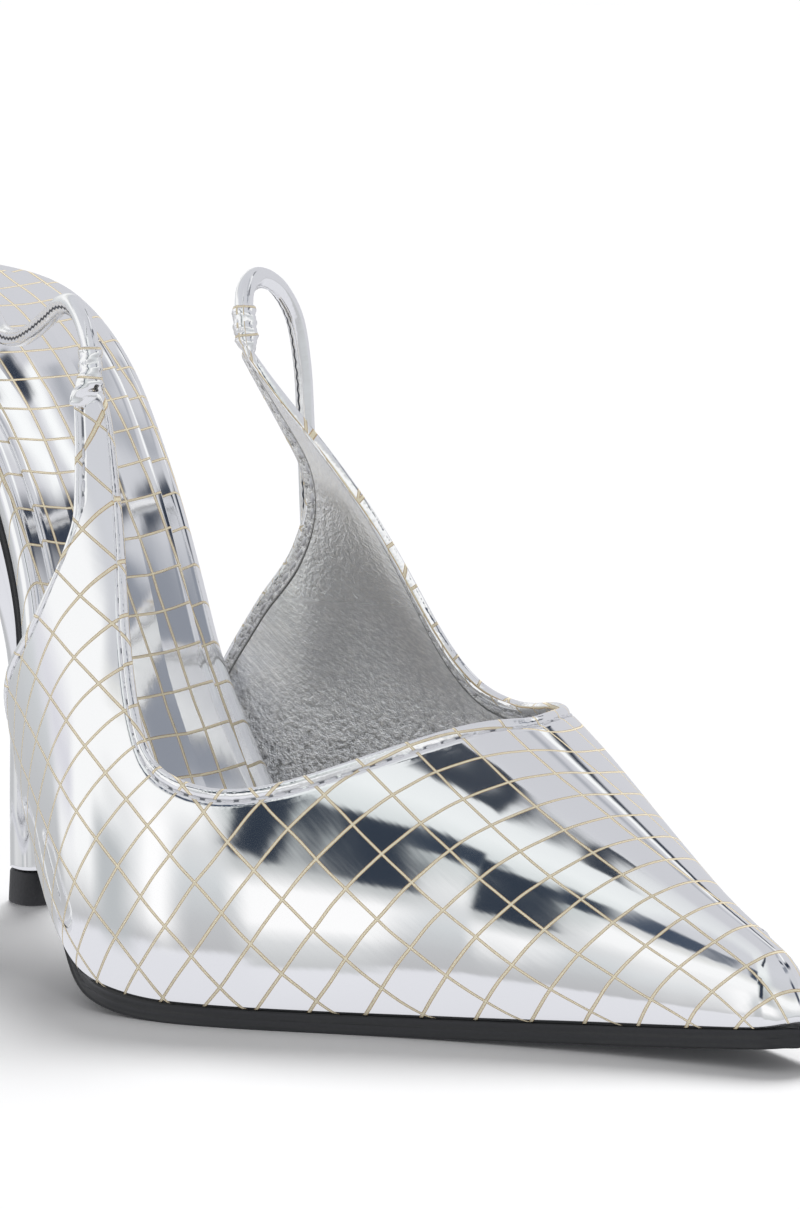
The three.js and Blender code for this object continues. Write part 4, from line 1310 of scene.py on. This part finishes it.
def make_lace_film():
    material, tree, film = new_material("lace_film")
    flat = add(tree, "UVMap").outputs[0]
    parts = add(tree, "SeparateXYZ", Vector=flat)
    run, around = parts.outputs[0], parts.outputs[1]
    place_in = sum_of(tree, "FRACT", sum_of(tree, "DIVIDE", run, 0.0021))
    tooth = sum_of(tree, "ABSOLUTE", sum_of(tree, "SUBTRACT", place_in, 0.5))
    seam_at = sum_of(tree, "ADD", 0.00085, sum_of(tree, "MULTIPLY", tooth, 0.0006))
    beside = sum_of(tree, "ABSOLUTE", sum_of(tree, "SUBTRACT", around, seam_at))
    seam = sum_of(tree, "SUBTRACT", 1, step_between(tree, beside, 0.00012, 0.0003))
    creases = add(tree, "Mapping", {"vector_type": "POINT"}, Vector=flat, Scale=(1, 0.35, 1))
    wrinkle = noise_of(tree, creases.outputs[0], 0.0022, 2.0, 0.5)
    slow = noise_of(tree, flat, 0.008, 1.0, 0.5, 4.0)
    height = sum_of(tree, "MULTIPLY", wrinkle, 0.00007)
    height = sum_of(tree, "ADD", height, sum_of(tree, "MULTIPLY", slow, 0.0002))
    height = sum_of(tree, "SUBTRACT", height, sum_of(tree, "MULTIPLY", seam, 0.0002))
    bump = add(tree, "Bump", Height=height, Strength=1.0, Distance=1.0)
    join(tree, bump.outputs[0], film.inputs["Normal"])
    join(tree, blend_of(tree, seam, FILM, colour(70, 72, 80)), film.inputs["Base Color"])
    join(tree, sum_of(tree, "MULTIPLY_ADD", seam, 0.3, 0.13), film.inputs["Roughness"])
    film.inputs["Metallic"].default_value = 1
    return material


def make_thread():
    material, tree, thread = new_material("silver_thread")
    body = add(tree, "TexCoord").outputs["Object"]
    twist = noise_of(tree, body, 0.0003, 2.0)
    bump = add(tree, "Bump", Height=sum_of(tree, "MULTIPLY", twist, 0.00006), Strength=1.0, Distance=1.0)
    join(tree, bump.outputs[0], thread.inputs["Normal"])
    thread.inputs["Base Color"].default_value = colour(226, 226, 230)
    thread.inputs["Metallic"].default_value = 0.6
    thread.inputs["Roughness"].default_value = 0.32
    return material


lining_foil, lace_film, silver_thread = make_lining(), make_lace_film(), make_thread()

# %% [markdown]
# ## Heel shell and black parts
# The heel's shell is plated smooth. Dust and fingers leave it a trace less clear in patches. The sole's
# edge is black lacquer over two layers, so it carries fine lines, and the top piece is dull rubber.

# %% Heel and sole finishes
def make_plated():
    material, tree, plated = new_material("plated_heel")
    body = add(tree, "TexCoord").outputs["Object"]
    haze = noise_of(tree, body, 0.006, 3.0)
    join(tree, sum_of(tree, "MULTIPLY_ADD", haze, 0.06, 0.05), plated.inputs["Roughness"])
    waves = sum_of(tree, "MULTIPLY", noise_of(tree, body, 0.014, 1.0), 0.00006)
    bump = add(tree, "Bump", Height=waves, Strength=1.0, Distance=1.0)
    join(tree, bump.outputs[0], plated.inputs["Normal"])
    plated.inputs["Base Color"].default_value = FILM
    plated.inputs["Metallic"].default_value = 1
    return material


def make_black(name, shade, roughness, layered):
    material, tree, black = new_material(name)
    body = add(tree, "TexCoord").outputs["Object"]
    flattened = add(tree, "Mapping", {"vector_type": "POINT"}, Vector=body, Scale=(0.08, 0.08, 1))
    lines = noise_of(tree, flattened.outputs[0], 0.0005, 2.0)
    grain = noise_of(tree, body, 0.0006, 3.0)
    height = sum_of(tree, "MULTIPLY", lines if layered else grain, 0.00008)
    bump = add(tree, "Bump", Height=height, Strength=1.0, Distance=1.0)
    join(tree, bump.outputs[0], black.inputs["Normal"])
    join(tree, blend_of(tree, grain, colour(*shade), colour(*[v + 14 for v in shade])), black.inputs["Base Color"])
    black.inputs["Roughness"].default_value = roughness
    return material


plated_heel = make_plated()
sole_black = make_black("sole_lacquer", (22, 23, 27), 0.3, True)
rubber_black = make_black("top_piece_rubber", (40, 40, 44), 0.5, False)

upper.data.materials[0] = upper_film
upper.data.materials[LINING_SLOT] = lining_foil
wear(footbed_film, footbed, sock)
wear(silver_thread, stitches)
wear(plated_heel, heel)
wear(sole_black, outsole)
wear(rubber_black, top_piece)
for side in routes:
    wear(lace_film, bpy.data.objects["lace_" + side + "_strip"])
    wear(tab_film, bpy.data.objects["tip_tab_" + side])

# %% [markdown]
# ## The studio
# A mirror shows its surroundings, so they are part of the look. The shoe stood on a white table inside
# white walls. From below the horizon it sees the table, then a grey fall-off where the table ends, then
# bright walls, a dark gap under the lamps, and the pale ceiling. A few dark cards and bright lamps break
# this up. The camera itself sees plain white.

# %% Surroundings
VIEW_TURN = math.degrees(math.atan2(axes[2].y, axes[2].x))
FRONT_BANDS = [
    (-90, (216, 217, 222)), (-50, (221, 222, 227)), (-18, (224, 225, 230)), (-16.5, (186, 187, 189)),
    (-9, (192, 194, 196)), (0, (208, 212, 214)), (6, (218, 220, 221)), (12, (246, 247, 247)),
    (18, (248, 249, 249)), (22, (222, 223, 221)), (26, (200, 202, 206)), (40, (206, 208, 213)),
    (90, (202, 203, 208)),
]
SIDE_BANDS = [
    (-90, (214, 215, 220)), (-40, (222, 223, 228)), (-21, (226, 227, 232)), (-19, (196, 198, 199)),
    (-12, (216, 218, 219)), (-7, (253, 253, 253)), (1, (252, 252, 252)), (5, (196, 199, 199)),
    (9, (176, 180, 181)), (16, (186, 192, 192)), (24, (214, 220, 220)), (34, (236, 240, 240)),
    (90, (206, 207, 212)),
]
CARD_COLUMNS = ["name", "azimuth", "elevation", "width", "height", "turn", "soft", "colour"]
CARDS = [
    ("low_gap", -29.4, 16, 5.4, 18, 14, 0.8, (46, 55, 68)),
    ("front_gap", -38, 29.5, 6.5, 10, 8, 1, (66, 77, 94)),
    ("middle_gap", -31.8, 24.5, 4.5, 7, 20, 0.8, (52, 62, 76)),
    ("upper_gap", -17, 55, 4.6, 26, 38, 0.8, (46, 54, 66)),
    ("quarter_wall", -88, 10, 54, 44, 0, 6, (247, 248, 248)),
    ("quarter_streak", -68, -9, 9, 22, 24, 4, (186, 190, 192)),
    ("quarter_haze", -105, 0, 26, 10, 0, 6, (216, 216, 223)),
    ("quarter_lamp", -52, -2, 12, 26, 12, 5, (255, 255, 255)),
    ("far_wall", 140, 24, 90, 80, 0, 8, (207, 208, 213)),
    ("back_gap", 140, 49, 18, 5, 10, 1.5, (50, 58, 72)),
    ("sock_streak", 118, 51, 46, 5, -10, 2, (250, 252, 252)),
    ("seat_gap", 95, 41, 22, 7, 20, 2, (48, 56, 70)),
    ("board_gap", 72, 53, 12, 6, 30, 1.5, (52, 60, 74)),
    ("board_shade", 105, 62, 60, 5, -4, 3, (168, 171, 178)),
    ("medial_gap", 62, 26, 12, 18, -10, 3, (66, 74, 90)),
    ("sock_shade", 68, 44.5, 22, 6, 6, 1.5, (138, 143, 153)),
]


def make_surroundings():
    world = bpy.data.worlds.new("studio")
    bpy.context.scene.world = world
    world.use_nodes = True
    tree = world.node_tree
    direction = add(tree, "TexCoord").outputs["Generated"]
    parts = add(tree, "SeparateXYZ", Vector=vector_of(tree, "NORMALIZE", direction))
    degrees = 180 / math.pi
    ripple = sum_of(tree, "SUBTRACT", noise_of(tree, direction, 0.05, 2.0, 0.6), 0.5)
    elevation = sum_of(tree, "MULTIPLY", sum_of(tree, "ARCSINE", parts.outputs[2]), degrees)
    elevation = sum_of(tree, "MULTIPLY_ADD", ripple, 1.6, elevation)
    azimuth = sum_of(tree, "MULTIPLY", sum_of(tree, "ARCTAN2", parts.outputs[1], parts.outputs[0]), degrees)
    azimuth = sum_of(tree, "SUBTRACT", azimuth, VIEW_TURN)
    azimuth = sum_of(tree, "WRAP", azimuth, 180.0, -180.0)
    bands = []
    for table in (FRONT_BANDS, SIDE_BANDS):
        share = sum_of(tree, "DIVIDE", sum_of(tree, "ADD", elevation, 90), 180)
        ramp = add(tree, "ValToRGB", Fac=share)
        points = ramp.color_ramp.elements
        while len(points) < len(table):
            points.new(0.5)
        for point, (at, shade) in zip(points, table):
            point.position = (at + 90) / 180
            point.color = colour(*shade)
        bands.append(ramp.outputs[0])
    to_side = sum_of(tree, "MULTIPLY", step_between(tree, azimuth, -37.0, -32.0),
                     sum_of(tree, "SUBTRACT", 1, step_between(tree, azimuth, -22.0, 0.0)))
    seen = blend_of(tree, to_side, *bands)
    for name, at, height_at, width, height, turn, soft, shade in CARDS:
        from_middle = sum_of(tree, "WRAP", sum_of(tree, "SUBTRACT", azimuth, at), 180.0, -180.0)
        above = sum_of(tree, "SUBTRACT", elevation, height_at)
        cos, sin = math.cos(math.radians(turn)), math.sin(math.radians(turn))
        aside = sum_of(tree, "SUBTRACT", sum_of(tree, "MULTIPLY", from_middle, cos), sum_of(tree, "MULTIPLY", above, sin))
        along = sum_of(tree, "ADD", sum_of(tree, "MULTIPLY", from_middle, sin), sum_of(tree, "MULTIPLY", above, cos))
        mask = 1
        for value, size in ((aside, width), (along, height)):
            past = sum_of(tree, "SUBTRACT", sum_of(tree, "ABSOLUTE", value), size / 2)
            mask = sum_of(tree, "MULTIPLY", mask, sum_of(tree, "SUBTRACT", 1, step_between(tree, past, -soft, soft)))
        seen = blend_of(tree, mask, seen, colour(*shade))
    lifted = vector_of(tree, "SCALE", seen)
    lifted.node.inputs["Scale"].default_value = 1.07
    path = add(tree, "LightPath")
    shown = blend_of(tree, path.outputs["Is Diffuse Ray"], lifted, (0.42, 0.42, 0.425, 1.0))
    shown = blend_of(tree, path.outputs["Is Camera Ray"], shown, (1.0, 1.0, 1.0, 1.0))
    join(tree, shown, tree.nodes["Background"].inputs["Color"])


make_surroundings()
bpy.context.scene.view_settings.view_transform = "Standard"
print("Cards and lamps:", len(CARDS))

# %% [markdown]
# ## Floor and lamp
# The floor is a plain white sheet, far larger than the picture. It is left out of reflections, where the
# surroundings already show the table. One broad overhead lamp lights the floor and the dull parts, and
# leaves the soft shadow under the sole.

# %% Floor and lamp
FLOOR_SIZE = 60
bpy.ops.object.select_all(action="DESELECT")
bpy.ops.mesh.primitive_plane_add(size=FLOOR_SIZE)
floor = bpy.context.active_object
floor.name = "studio_floor"
floor_white, floor_tree, floor_paint = new_material("floor_white")
floor_place = add(floor_tree, "TexCoord").outputs["Object"]
tone = blend_of(floor_tree, noise_of(floor_tree, floor_place, 0.3), colour(248, 248, 249), colour(252, 252, 252))
join(floor_tree, tone, floor_paint.inputs["Base Color"])
floor_paint.inputs["Roughness"].default_value = 0.9
wear(floor_white, floor)
floor.visible_glossy = False

LAMP_TURN = (math.radians(-24), math.radians(-20), 0)
LAMP_SPREAD = math.radians(26)
LAMP_STRENGTH = 2.42
bpy.ops.object.light_add(type="SUN", rotation=LAMP_TURN)
lamp = bpy.context.active_object
lamp.name = "overhead_lamp"
lamp.data.angle = LAMP_SPREAD
lamp.data.energy = LAMP_STRENGTH
lamp.visible_glossy = False
lamp.visible_camera = False
print("Floor is", FLOOR_SIZE, "m wide")
